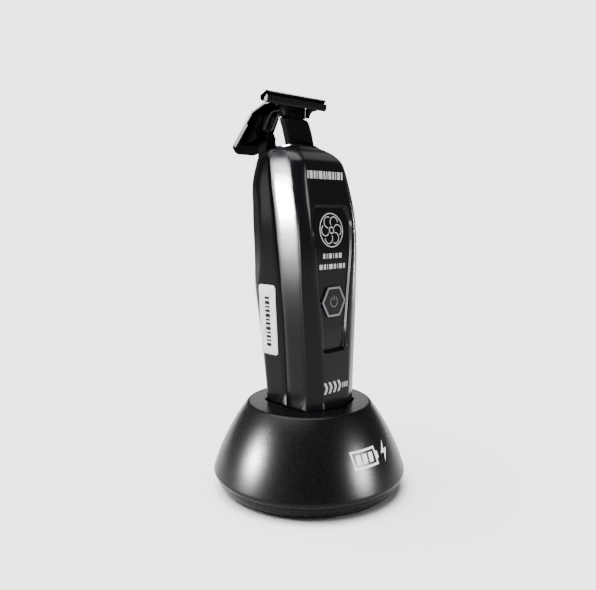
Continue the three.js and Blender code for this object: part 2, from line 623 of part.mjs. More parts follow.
const dockScrewPlaces = () =>
  Object.values(DOCK_SCREW_ANGLES).map((angle) => {
    const a = THREE.MathUtils.degToRad(angle);
    return [DOCK_SCREW.ring * Math.cos(a), DOCK_SCREW.ring * Math.sin(a)];
  });

const socketForm = (grow, bottom, top) =>
  loft([bottom, top].map((z) => bodyOutline(BODY_BOTTOM, grow).map(([x, y]) => [x, y, z])));

function socketLiner() {
  const cup = socketForm(SOCKET.clearance + SOCKET.wall, SOCKET.bottom, SOCKET.top);
  const hollow = socketForm(SOCKET.clearance, SOCKET.floor, SOCKET.top + 1);
  const holes = [-CONTACT.x, CONTACT.x].map((x) =>
    post(PIN.hole, SOCKET.bottom - 1, SOCKET.floor + 1, x, CONTACT.y, 20));
  return cut(cup, hollow, ...holes);
}

function dockBase() {
  const { lipRadius, lipCentre, under, top, floor, inner } = BASE;
  const outer = [];
  const steps = 6;
  for (let i = 0; i <= steps; i++) {
    const z = under + ((top - under) * i) / steps;
    outer.push([lipCentre + Math.sqrt(lipRadius ** 2 - (lipRadius - z) ** 2) * 0.88, z]);
  }
  const dish = turned([[0, under], ...outer, [inner, top], [inner, floor], [0, floor]], 48);
  const seat = post(PAD.radius + GAP, under - 1, PAD.top + GAP, 0, 0, 48);
  const { head, headThick, shank } = DOCK_SCREW;
  const screws = dockScrewPlaces().flatMap(([x, y]) => [
    post(head + GAP, under - 1, under + headThick, x, y, 20),
    post(shank + GAP, under - 1, floor + 1, x, y, 16),
  ]);
  return cut(dish, seat, ...screws);
}

function dockScrew([x, y]) {
  const { head, headThick, shank, top } = DOCK_SCREW;
  const cap = post(head, BASE.under, BASE.under + headThick - GAP, x, y, 20);
  return cap.add(post(shank, BASE.under + 1, top, x, y, 12));
}

const dockBoard = () =>
  block(
    [-DOCK_BOARD.w / 2, DOCK_BOARD.y - DOCK_BOARD.d / 2, DOCK_BOARD.bottom],
    [DOCK_BOARD.w / 2, DOCK_BOARD.y + DOCK_BOARD.d / 2, DOCK_BOARD.top],
  );

function pinBlock() {
  const { w, d, bottom, top } = PIN_BLOCK;
  const body = block([-w / 2, CONTACT.y - d / 2, bottom], [w / 2, CONTACT.y + d / 2, top]);
  const wellFloor = PIN.bottom - PIN.travel - 0.1;
  const wells = [-CONTACT.x, CONTACT.x].map((x) =>
    post(PIN.collar + GAP, wellFloor, top + 1, x, CONTACT.y, 20));
  return cut(body, ...wells);
}

const contactPin = (x) =>
  post(PIN.radius, PIN.bottom, PIN.top, x, CONTACT.y, 20).add(
    post(PIN.collar, PIN.bottom, PIN.collarTop, x, CONTACT.y, 20));

// The charging inlet: a flat-sided metal sleeve, closed at its inner end, with a thin tongue inside.
function chargeInlet() {
  const { w, h, front, back, z, wall, tongue, reach } = INLET;
  const sleeve = block([-w / 2, front, z - h / 2], [w / 2, back, z + h / 2]);
  const hollowLow = [-w / 2 + wall, front + wall, z - h / 2 + wall];
  const hollow = block(hollowLow, [w / 2 - wall, back + 1, z + h / 2 - wall]);
  const blade = block([-w / 2 + 1.8, front, z - tongue / 2], [w / 2 - 1.8, front + reach, z + tongue / 2]);
  return sleeve.subtract(hollow).add(blade);
}

// ---------------------------------------------------------------- materials
const finish = (color, roughness, metalness = 0) =>
  new THREE.MeshStandardMaterial({ color, roughness, metalness });
const blackShell = finish(0x131316, 0.35);
const dockPlastic = finish(0x17171a, 0.45);
const darkPlastic = finish(0x202023, 0.5);
const blackCap = finish(0x19191c, 0.4);
const ringGrey = finish(0x8d8d93, 0.35);
const rubber = finish(0x1c1c1d, 0.9);
const steel = finish(0xb9bcc2, 0.25, 1);
const blackBlade = finish(0x1b1b1d, 0.3, 0.9);
const zinc = finish(0x85878c, 0.4, 1);
const brass = finish(0xd6a84f, 0.3, 1);
const copper = finish(0xb5673a, 0.4, 0.9);
const boardGreen = finish(0x1f5a38, 0.55);
const batteryBlue = finish(0x2d5f9e, 0.4);
const paper = finish(0xf2f2f2, 0.6);

function piece(name, solid, material) {
  const mesh = new THREE.Mesh(toGeometry(solid), material);
  mesh.name = name;
  return mesh;
}

// ---------------------------------------------------------------- assembly
const dock = new THREE.Group();
dock.add(
  piece("dock_shell", dockShell(), dockPlastic),
  piece("socket_liner", socketLiner(), darkPlastic),
  piece("dock_base", dockBase(), dockPlastic),
  piece("anti_slip_pad", post(PAD.radius, 0, PAD.top, 0, 0, 48), rubber),
  piece("ballast_plate", ring(BALLAST.inner, BALLAST.outer, BALLAST.bottom, BALLAST.top), zinc),
  piece("dock_circuit_board", dockBoard(), boardGreen),
  piece("pin_block", pinBlock(), darkPlastic),
  piece("charge_pin_left", contactPin(-CONTACT.x), brass),
  piece("charge_pin_right", contactPin(CONTACT.x), brass),
  piece("charge_inlet", chargeInlet(), steel),
);
Object.keys(DOCK_SCREW_ANGLES).forEach((name, i) => {
  dock.add(piece(name, dockScrew(dockScrewPlaces()[i]), steel));
});

const clipper = new THREE.Group();
clipper.add(
  piece("front_shell", frontShell(), blackShell),
  piece("rear_shell", rearShell(), blackShell),
  piece("button_cap", buttonCap(), blackCap),
  piece("button_ring", buttonRing(), ringGrey),
  piece("tactile_switch", tactileSwitch(), darkPlastic),
  piece("main_circuit_board", mainBoard(), boardGreen),
  piece("battery_cell", batteryCell(), batteryBlue),
  piece("battery_cradle", batteryCradle(), darkPlastic),
  piece("charge_contact_left", chargeContact(-CONTACT.x), brass),
  piece("charge_contact_right", chargeContact(CONTACT.x), brass),
  piece("serial_label", serialLabel(), paper),
);
SHELL_SCREWS.forEach((screw) => clipper.add(piece(screw.name, shellScrew(screw), steel)));

const drive = new THREE.Group();
drive.add(
  piece("motor_can", motorCan(), steel),
  piece("motor_cover", motorRing(SHAFT.bore, MOTOR.radius, COVER.bottom, COVER.top), darkPlastic),
  piece("stator_winding", motorRing(STATOR.inner, STATOR.outer, STATOR.bottom, STATOR.top), copper),
  piece("rotor_magnet", motorRing(SHAFT.bore, MAGNET.radius, MAGNET.bottom, MAGNET.top), zinc),
  piece("motor_shaft", post(SHAFT.radius, SHAFT.bottom, SHAFT.top, 0, MOTOR.y, 20), steel),
  piece("eccentric_cam", eccentricCam(), brass),
  piece("motor_mount", mountPlate(), zinc),
  piece("drive_lever", driveLever(), darkPlastic),
  piece("lever_pivot_pin", pivotPin(), steel),
  piece("drive_housing", driveHousing(), darkPlastic),
);

const head = new THREE.Group();
head.add(
  piece("head_bracket", headBracket(), darkPlastic),
  piece("blade_plate", bladePlate(), steel),
  piece("fixed_blade", fixedBlade(), blackBlade),
  piece("blade_screw_left", bladeScrew(-1), steel),
  piece("blade_screw_right", bladeScrew(1), steel),
  piece("tension_spring", tensionSpring(), steel),
  piece("cutter_blade", cutterBlade(), blackBlade),
  piece("cutter_carrier", cutterCarrier(), darkPlastic),
);

const trimmer = new THREE.Group();
clipper.add(drive, head);
trimmer.add(dock, clipper);
export default trimmer;
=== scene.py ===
import json
import math

import bmesh
import bpy
from mathutils import Matrix, Vector

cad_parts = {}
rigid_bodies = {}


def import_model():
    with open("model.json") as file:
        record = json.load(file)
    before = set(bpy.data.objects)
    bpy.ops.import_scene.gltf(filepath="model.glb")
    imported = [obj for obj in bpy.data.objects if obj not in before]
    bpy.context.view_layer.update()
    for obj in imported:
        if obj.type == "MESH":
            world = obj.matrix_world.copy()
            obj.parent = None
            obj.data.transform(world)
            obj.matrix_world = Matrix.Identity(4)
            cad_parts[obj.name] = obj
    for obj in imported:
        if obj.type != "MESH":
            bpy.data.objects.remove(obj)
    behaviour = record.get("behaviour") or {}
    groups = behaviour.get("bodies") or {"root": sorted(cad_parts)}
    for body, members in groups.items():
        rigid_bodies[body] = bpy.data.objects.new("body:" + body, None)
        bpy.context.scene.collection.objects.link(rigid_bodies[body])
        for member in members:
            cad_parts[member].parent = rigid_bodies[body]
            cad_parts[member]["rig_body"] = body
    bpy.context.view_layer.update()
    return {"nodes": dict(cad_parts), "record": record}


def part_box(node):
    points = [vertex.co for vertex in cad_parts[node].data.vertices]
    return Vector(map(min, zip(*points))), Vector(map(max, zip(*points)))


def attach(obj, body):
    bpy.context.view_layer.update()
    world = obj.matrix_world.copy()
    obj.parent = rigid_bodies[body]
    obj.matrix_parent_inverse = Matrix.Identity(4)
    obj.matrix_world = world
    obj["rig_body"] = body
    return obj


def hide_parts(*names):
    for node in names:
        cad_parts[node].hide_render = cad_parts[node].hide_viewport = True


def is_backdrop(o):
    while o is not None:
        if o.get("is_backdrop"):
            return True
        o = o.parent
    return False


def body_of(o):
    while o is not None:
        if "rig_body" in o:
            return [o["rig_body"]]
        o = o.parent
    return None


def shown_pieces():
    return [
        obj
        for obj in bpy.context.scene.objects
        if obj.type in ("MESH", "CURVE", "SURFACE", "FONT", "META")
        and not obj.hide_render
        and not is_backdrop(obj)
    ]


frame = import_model()

MM = 0.001
SMOOTH = 40
DOCK_SMOOTH = 30
EDGE_ANGLE = 35
FILLET_SHARE = 0.45
SIDES = {"button": 6, "hole": 24, "screw": 28, "well": 32}

# ---------------------------------------------------------------- body, millimetres
# Each section is: height, half width, chamfer y at the side, half width of the flat face, face y, back y and
# rear corner radius.
SECTION_KEYS = ("z", "w", "yc", "xb", "yf", "yb", "rr")
SECTIONS = [
    (15, 16.4, -14.4, 9.2, -18.4, 15.4, 4),
    (43, 16.4, -14.4, 9.2, -18.4, 15.4, 4),
    (60, 17.2, -14.3, 10.0, -18.0, 17.0, 5),
    (80, 18.3, -14.1, 11.8, -17.2, 20.1, 7),
    (100, 19.5, -13.7, 13.8, -16.5, 24.1, 10),
    (120, 20.1, -13.1, 15.0, -16.2, 27.5, 15),
    (135, 20.1, -11.4, 15.2, -14.5, 29.3, 17),
    (150, 19.0, -8.0, 14.2, -11.2, 30.3, 17),
    (158, 18.0, -5.5, 13.2, -9.2, 28.9, 17),
    (161, 17.3, -3.3, 12.2, -6.6, 27.7, 16),
    (163.5, 15.6, -0.6, 10.6, -3.6, 25.7, 14.5),
    (165.3, 13.0, 2.0, 8.4, -0.6, 21.6, 12),
    (166.5, 8.8, 3.5, 5.0, 0.5, 15.7, 8),
]
# Where the two shells meet, as (height, y).
SEAM = [(10, -1.7), (43, -1.7), (60, -1.65), (80, -1.4), (100, -0.5), (120, 1.2), (135, 3.2), (150, 6.7),
        (158, 8.6), (168, 11.2)]
SEAM_GAP = 0.16
# The edges along the seam, as (in from the side, away from the seam).
FRONT_RIM = [(0, 0.35), (0.12, 0.1), (0.35, 0)]
REAR_RIM = [(0.55, 0), (0.5, 0.05), (0.05, 0.6), (0, 0.75)]
REAR_CORNER = {"clear_of_seam": 1.5, "clear_of_middle": 0.5, "steps": 20}
CHAMFER = {"face_soft": 3.0, "side_soft": 1.1, "side_run": 6}
SHELL_FOOT = {"z": 15.0, "height": 0.9, "inset": 0.8, "half": 16.4}
SHELL_TOP = 166.5
BODY_MIDDLE = 4.0
SKIN = 1.5
FACE_STEPS = {"flat": 8, "wall": 7}
# Heights of the rings of points, as a list or as (start, step, count).
FOOT_LAYERS = [15.0, 15.25, 15.9]
BODY_LAYERS = (17, 2, 76)
PANEL_FOOT_LAYERS = [69.5, 70.2, 70.9]
PANEL_TOP_LAYERS = (137.7, 0.15, 7)
CROWN_LAYERS = (157, 0.5, 19)
CROWN_TOP_LAYER = 166.2
# The sunken panel's outline, as (height, half width).
PANEL = [(69.5, 7.6), (71, 8.4), (79, 8.2), (93, 9.9), (106, 11.6), (122, 13.0), (130, 13.7), (132, 13.4),
         (138.6, 10.2)]
PANEL_DEPTH = 1.2
PANEL_SLOPE = 0.9
PANEL_FOOT = 1.4
PANEL_MARGIN = {"inside": 0.93, "beyond": 0.8}
RAMP = {"high": 82.0, "low": 71.0, "depth": 1.0}
BUTTON = {"z": 93.4, "hole": 8.5, "from": -30, "to": -9}
BRACKET_SLOT = {"half": 4.7, "front": 26.7, "back": 40, "low": 147.7, "high": 172}
CONTACT_HOLE = {"radius": 2.1, "x": 6, "y": 2.0, "low": 13, "high": 18}
SHELL_SCREWS = ["shell_screw_" + place for place in ("low_left", "low_right", "high_left", "high_right")]
SCREW_HOLE = {"radius": 2.45, "low_from": 12, "high_from": 23, "to": 40, "split": 100}
SCALLOP = {"z": 124.0, "half": 25.0, "depth": 1.3, "angle": 27}

# ---------------------------------------------------------------- neck, millimetres
# Profiles are (height, y).
NECK_HOLE = {"half": 8.25, "front": 3.95, "back": 9.0, "back_soft": 0.3, "low": 154, "high": 172}
TONGUE = {"half": 8.1, "soft": 1.3, "back_soft": 0.35, "top": 180.5, "shoulder": 178.6, "crown": 1.2}
TONGUE_FRONT = [(156.6, 4.1), (167, 4.2), (171, 5.0), (175, 6.3), (178, 7.5), (179.4, 8.3), (180.1, 9.0),
                (180.5, 10.2)]
TONGUE_BACK = [(156.6, 8.5), (167, 8.6), (175, 10.7), (178.8, 12.2), (180.5, 12.9)]
TONGUE_CHANNEL = [(155, 5.6), (167, 5.7), (171, 6.5), (175, 7.6), (178, 8.9), (179.3, 9.6), (183, 9.8)]
TONGUE_LAYERS = (157, 0.5, 44)
TONGUE_TOP_LAYERS = [179.0, 179.4, 179.8, 180.1, 180.3, 180.45, 180.5]
CHANNEL = {"half": 4.2, "back": 20}
PIN_HOLE = {"radius": 1.3, "z": 162.5, "depth": 20}
COLLAR = {"half": 9.2, "front": 1.2, "back": 9.9, "soft": 2.4, "back_soft": 0.6, "low": 165.4, "high": 166.5,
          "edge": 0.12, "corner": 50}
COLLAR_HOLE = {"front": 4.15, "back": 8.6, "low": 160, "high": 170}

# ---------------------------------------------------------------- dock, millimetres
# Profiles are (radius, height). The mouth is (height, growth of the socket's outline).
DOCK = {"top": 42.8, "top_radius": 30.4, "wide": 9.0, "radius": 47.84, "sag": 1.75, "hub": 10, "soft": 1.1,
        "inside_top": 40.9, "inside_radius": 28, "wall": 2.0, "waist": (46.5, 6.6), "waist_soft": 1.6}
DOCK_EDGE = [(46.75, 6.95), (46.45, 6.7), (45.9, 6.7), (44.6, 6.7), (45.6, 9.0)]
DOCK_SEGMENTS = 192
SOCKET = {"z": 20, "face_soft": 2, "side_soft": 1.2, "steps": 8, "corner_grow": 0.5, "chamfer_grow": 0.6}
MOUTH = [(36, 0.55), (41.9, 0.55), (42.5, 0.8), (42.95, 1.35)]
INLET_HOLE = {"gap": 0.3, "from": 36, "to": 55}
BASE = {"under": 1.95, "recess": 34.3, "rim": 34.5, "rim_soft": 0.15, "inside": 43.2, "floor": 3.0,
        "lip_skin": 0.4, "lip_soft": 0.05}
DOCK_SCREWS = ["dock_screw_" + place for place in ("front", "left", "right")]
SCREW_WELL = {"head": 3.1, "head_low": -1, "head_high": 2.4, "shank": 1.6, "shank_low": 2, "shank_high": 4}
LIP = {"low": 0.8, "high": 6.5, "radius": 9.0, "centre": 38.8, "squeeze": 0.88, "steps": 20}

# ---------------------------------------------------------------- section formulas


def table_value(rows, column, z):
    """Smooth value of one column of a table at height z, with a natural slope at each row."""
    last = len(rows) - 1
    k = max([i for i, row in enumerate(rows) if row[0] <= z], default=0)
    k = min(k, last - 1)

    def slope(i):
        low = rows[max(0, i - 1)]
        high = rows[min(last, i + 1)]
        return (high[column] - low[column]) / (high[0] - low[0])

    span = rows[k + 1][0] - rows[k][0]
    t = min(1.0, max(0.0, (z - rows[k][0]) / span))
    rise = t * t * (3 - 2 * t)
    start = t * (1 - t) * (1 - t) * span * slope(k)
    finish = t * t * (t - 1) * span * slope(k + 1)
    return rows[k][column] * (1 - rise) + rows[k + 1][column] * rise + start + finish


def section(z):
    """Outline numbers of the body at height z. The foot is a straight bar."""
    if z <= SECTIONS[1][0]:
        return dict(zip(SECTION_KEYS, SECTIONS[1]))
    values = [table_value(SECTIONS, i, z) for i in range(len(SECTION_KEYS))]
    return dict(zip(SECTION_KEYS, values))


def seam_y(z):
    return table_value(SEAM, 1, z)


def panel_half(z, xb):
    """Half width of the sunken panel, kept inside the flat front face."""
    low, high = PANEL[0][0], PANEL[-1][0]
    half = table_value(PANEL, 1, min(max(z, low), high))
    return min(half, xb * PANEL_MARGIN["inside" if low <= z <= high else "beyond"])


def panel_depth(x, z, half):
    """How far the panel is sunken here, with soft walls and a ramp at its foot."""
    low, high = PANEL[0][0], PANEL[-1][0]
    across = (half - abs(x)) / PANEL_SLOPE
    above = (high - z) / PANEL_SLOPE
    below = (z - low) / PANEL_FOOT
    inside = min(1.0, max(0.0, min(across, above, below)))
    inside = inside * inside * (3 - 2 * inside)
    ramp = min(1.0, max(0.0, (RAMP["high"] - z) / (RAMP["high"] - RAMP["low"])))
    return inside * (PANEL_DEPTH + RAMP["depth"] * ramp * ramp)


def face_y(x, z):
    """Y of the front face, sunken panel and all."""
    s = section(z)
    half = panel_half(z, s["xb"])
    side = max(0.0, abs(x) - s["xb"])
    lean = (s["yc"] - s["yf"]) / (s["w"] - s["xb"])
    return s["yf"] + side * lean + panel_depth(x, z, half)


# ---------------------------------------------------------------- mesh helpers


def scaled_mesh(name, points, faces):
    """A mesh from points in millimetres."""
    mesh = bpy.data.meshes.new(name)
    mesh.from_pydata([tuple(c * MM for c in p) for p in points], [], faces)
    return mesh


def mesh_object(name, points, faces, material, smooth=SMOOTH):
    return finish_mesh(name, scaled_mesh(name, points, faces), material, smooth)


def finish_mesh(name, mesh, material, smooth=SMOOTH):
    obj = bpy.data.objects.new(name, mesh)
    bpy.context.collection.objects.link(obj)
    mesh.validate()
    mesh.shade_smooth()
    mesh.set_sharp_from_angle(angle=math.radians(smooth))
    mesh.materials.append(material)
    return obj


def outward(obj):
    bm = bmesh.new()
    bm.from_mesh(obj.data)
    bmesh.ops.recalc_face_normals(bm, faces=bm.faces)
    bm.to_mesh(obj.data)
    bm.free()


def grid_faces(rows, columns, closed=False):
    """Faces between neighbouring rows of points."""
    faces = []
    span = columns if closed else columns - 1
    for k in range(rows - 1):
        for i in range(span):
            j = (i + 1) % columns
            faces.append((k * columns + i, k * columns + j, (k + 1) * columns + j, (k + 1) * columns + i))
    return faces


def end_caps(count, total):
    """The first and the last ring of a stack of rings, each closed by one face."""
    return [tuple(range(count)), tuple(range(total - count, total))]


def strip_cap(offset, columns):
    """Closes a mirror-symmetric open ring with strips that run from side to side."""
    faces = []
    for i in range(columns // 2):
        j = columns - 1 - i
        if j - 1 > i + 1:
            faces.append((offset + i, offset + i + 1, offset + j - 1, offset + j))
        elif j - 1 == i + 1:
            faces.append((offset + i, offset + i + 1, offset + j))
    return faces


def modify(obj, kind, **settings):
    modifier = obj.modifiers.new(kind.lower(), kind)
    for key, value in settings.items():
        setattr(modifier, key, value)
    return modifier


def apply_modifiers(obj, smooth=SMOOTH):
    depsgraph = bpy.context.evaluated_depsgraph_get()
    mesh = bpy.data.meshes.new_from_object(obj.evaluated_get(depsgraph))
    obj.modifiers.clear()
    obj.data = mesh
    mesh.shade_smooth()
    mesh.set_sharp_from_angle(angle=math.radians(smooth))


def soften(obj, width, angle=EDGE_ANGLE, harden=True):
    """Rounds every edge sharper than an angle in degrees."""
    modify(obj, "BEVEL", width=width * MM, segments=3, limit_method="ANGLE", angle_limit=math.radians(angle),
           harden_normals=harden)


def carve(obj, cutters, smooth=SMOOTH):
    """Cuts closed bodies out of obj and removes them."""
    for cutter in cutters:
        modify(obj, "BOOLEAN", operation="DIFFERENCE", solver="EXACT", object=cutter)
        apply_modifiers(obj, smooth)
        bpy.data.objects.remove(cutter)


def cutter_object(points, faces):
    obj = bpy.data.objects.new("cutter", scaled_mesh("cutter", points, faces))
    bpy.context.collection.objects.link(obj)
    outward(obj)
    return obj


def prism(outline, low, high, axis="z"):
    """A closed bar of an outline: along z as [x, y], along y as [x, z] or along x as [y, z]."""
    count = len(outline)
    order = {"x": (2, 0, 1), "y": (0, 2, 1), "z": (0, 1, 2)}[axis]
    flat = [(u, v, low) for u, v in outline] + [(u, v, high) for u, v in outline]
    points = [tuple(point[k] for k in order) for point in flat]
    faces = end_caps(count, 2 * count)
    faces += [(i, (i + 1) % count, (i + 1) % count + count, i + count) for i in range(count)]
    return cutter_object(points, faces)


def ring_points(radius, count, x=0.0, y=0.0):
    angles = [i * (math.tau / count) for i in range(count)]
    return [(x + radius * math.cos(a), y + radius * math.sin(a)) for a in angles]


def centre_of(low, high):
    return [(a + b) / 2 / MM for a, b in zip(low, high)]


def spaced(start, step, count):
    return [start + step * i for i in range(count)]


def box_outline(low, high):
    return [(low[0], low[1]), (high[0], low[1]), (high[0], high[1]), (low[0], high[1])]


def rounded_outline(half, front, back, front_radius, back_radius, steps=6):
    """A closed rectangle in [x, y] with one corner radius at its front and one at its back."""
    corners = [(1, front, front_radius, -90), (1, back, back_radius, 0), (-1, back, back_radius, 90),
               (-1, front, front_radius, 180)]
    points = []
    for side, y, radius, start in corners:
        inward = radius if y == front else -radius
        for i in range(steps + 1):
            a = math.radians(start + 90 * i / steps)
            points.append((side * (half - radius) + radius * math.cos(a), y + inward + radius * math.sin(a)))
    return points


def fillet(corner, before, after, radius, steps):
    """Points of a soft corner between two straight edges. It takes up less than half of either edge."""
    corner, before, after = Vector(corner), Vector(before), Vector(after)
    start = corner + (before - corner).normalized() * min(radius, (before - corner).length * FILLET_SHARE)
    end = corner + (after - corner).normalized() * min(radius, (after - corner).length * FILLET_SHARE)
    points = []
    for i in range(steps + 1):
        t = i / steps
        points.append(tuple(start * (1 - t) ** 2 + corner * 2 * t * (1 - t) + end * t * t))
    return points


def between(start, end, steps):
    """Points after start up to and with end."""
    return [tuple(Vector(start).lerp(Vector(end), (i + 1) / steps)) for i in range(steps)]


# ---------------------------------------------------------------- materials


def new_material(name, color, roughness, metallic=0.0, specular=0.5, edge_tint=1.0):
    material = bpy.data.materials.new(name)
    material.use_nodes = True
    shader = material.node_tree.nodes["Principled BSDF"]
    shader.inputs["Base Color"].default_value = (*color, 1)
    shader.inputs["Roughness"].default_value = roughness
    shader.inputs["Metallic"].default_value = metallic
    shader.inputs["Specular IOR Level"].default_value = specular
    shader.inputs["Specular Tint"].default_value = (edge_tint, edge_tint, edge_tint, 1)
    return material


def node(material, kind, **inputs):
    made = material.node_tree.nodes.new(kind)
    for key, value in inputs.items():
        made.inputs[key.replace("_", " ")].default_value = value
    return made


def link(material, source, target):
    material.node_tree.links.new(source, target)


def shader_of(material):
    return material.node_tree.nodes["Principled BSDF"]


def object_coordinates(material, stretch=(1, 1, 1)):
    place = material.node_tree.nodes.new("ShaderNodeTexCoord")
    mapping = node(material, "ShaderNodeMapping", Scale=stretch)
    link(material, place.outputs["Object"], mapping.inputs["Vector"])
    return mapping.outputs["Vector"]


def add_grain(material, scale, bump, rough_low, rough_high, stretch=(1, 1, 1), distance=0.0001):
    """Fine surface grain: a bump and a matching change of roughness."""
    vector = object_coordinates(material, stretch)
    noise = node(material, "ShaderNodeTexNoise", Scale=scale, Detail=6.0, Roughness=0.6)
    link(material, vector, noise.inputs["Vector"])
    rough = node(material, "ShaderNodeMapRange", To_Min=rough_low, To_Max=rough_high)
    link(material, noise.outputs["Fac"], rough.inputs["Value"])
    link(material, rough.outputs["Result"], shader_of(material).inputs["Roughness"])
    relief = node(material, "ShaderNodeBump", Strength=bump, Distance=distance)
    link(material, noise.outputs["Fac"], relief.inputs["Height"])
    link(material, relief.outputs["Normal"], shader_of(material).inputs["Normal"])
    return noise


def polish_edge(material, inner, outer, behind=-1.0, lift=0.8):
    """Bare polished metal where a side edge lies between two distances from the middle, in millimetres."""
    place = material.node_tree.nodes.new("ShaderNodeTexCoord")
    split = material.node_tree.nodes.new("ShaderNodeSeparateXYZ")
    link(material, place.outputs["Object"], split.inputs["Vector"])
    side = material.node_tree.nodes.new("ShaderNodeMath")
    side.operation = "ABSOLUTE"
    link(material, split.outputs["X"], side.inputs[0])
    tests = [("GREATER_THAN", side.outputs["Value"], inner), ("LESS_THAN", side.outputs["Value"], outer),
             ("GREATER_THAN", split.outputs["Y"], behind)]
    product = None
    for operation, source, limit in tests:
        test = material.node_tree.nodes.new("ShaderNodeMath")
        test.operation = operation
        test.inputs[1].default_value = limit * MM
        link(material, source, test.inputs[0])
        if product is None:
            product = test
            continue
        times = material.node_tree.nodes.new("ShaderNodeMath")
        times.operation = "MULTIPLY"
        link(material, product.outputs["Value"], times.inputs[0])
        link(material, test.outputs["Value"], times.inputs[1])
        product = times
    mix = material.node_tree.nodes.new("ShaderNodeMix")
    mix.data_type = "RGBA"
    mix.inputs["A"].default_value = tuple(shader_of(material).inputs["Base Color"].default_value)
    mix.inputs["B"].default_value = (lift, lift, lift * 1.02, 1)
    link(material, product.outputs["Value"], mix.inputs["Factor"])
    link(material, mix.outputs["Result"], shader_of(material).inputs["Base Color"])


def add_sparkle(material, scale, base, glint):
    """Tiny lighter flakes in the plastic."""
    vector = object_coordinates(material)
    cells = node(material, "ShaderNodeTexVoronoi", Scale=scale)
    link(material, vector, cells.inputs["Vector"])
    split = material.node_tree.nodes.new("ShaderNodeSeparateColor")
    link(material, cells.outputs["Color"], split.inputs["Color"])
    ramp = material.node_tree.nodes.new("ShaderNodeValToRGB")
    ramp.color_ramp.elements[0].position = 0.80
    ramp.color_ramp.elements[0].color = (*base, 1)
    ramp.color_ramp.elements[1].position = 0.98
    ramp.color_ramp.elements[1].color = (*glint, 1)
    link(material, split.outputs["Red"], ramp.inputs["Fac"])
    link(material, ramp.outputs["Color"], shader_of(material).inputs["Base Color"])


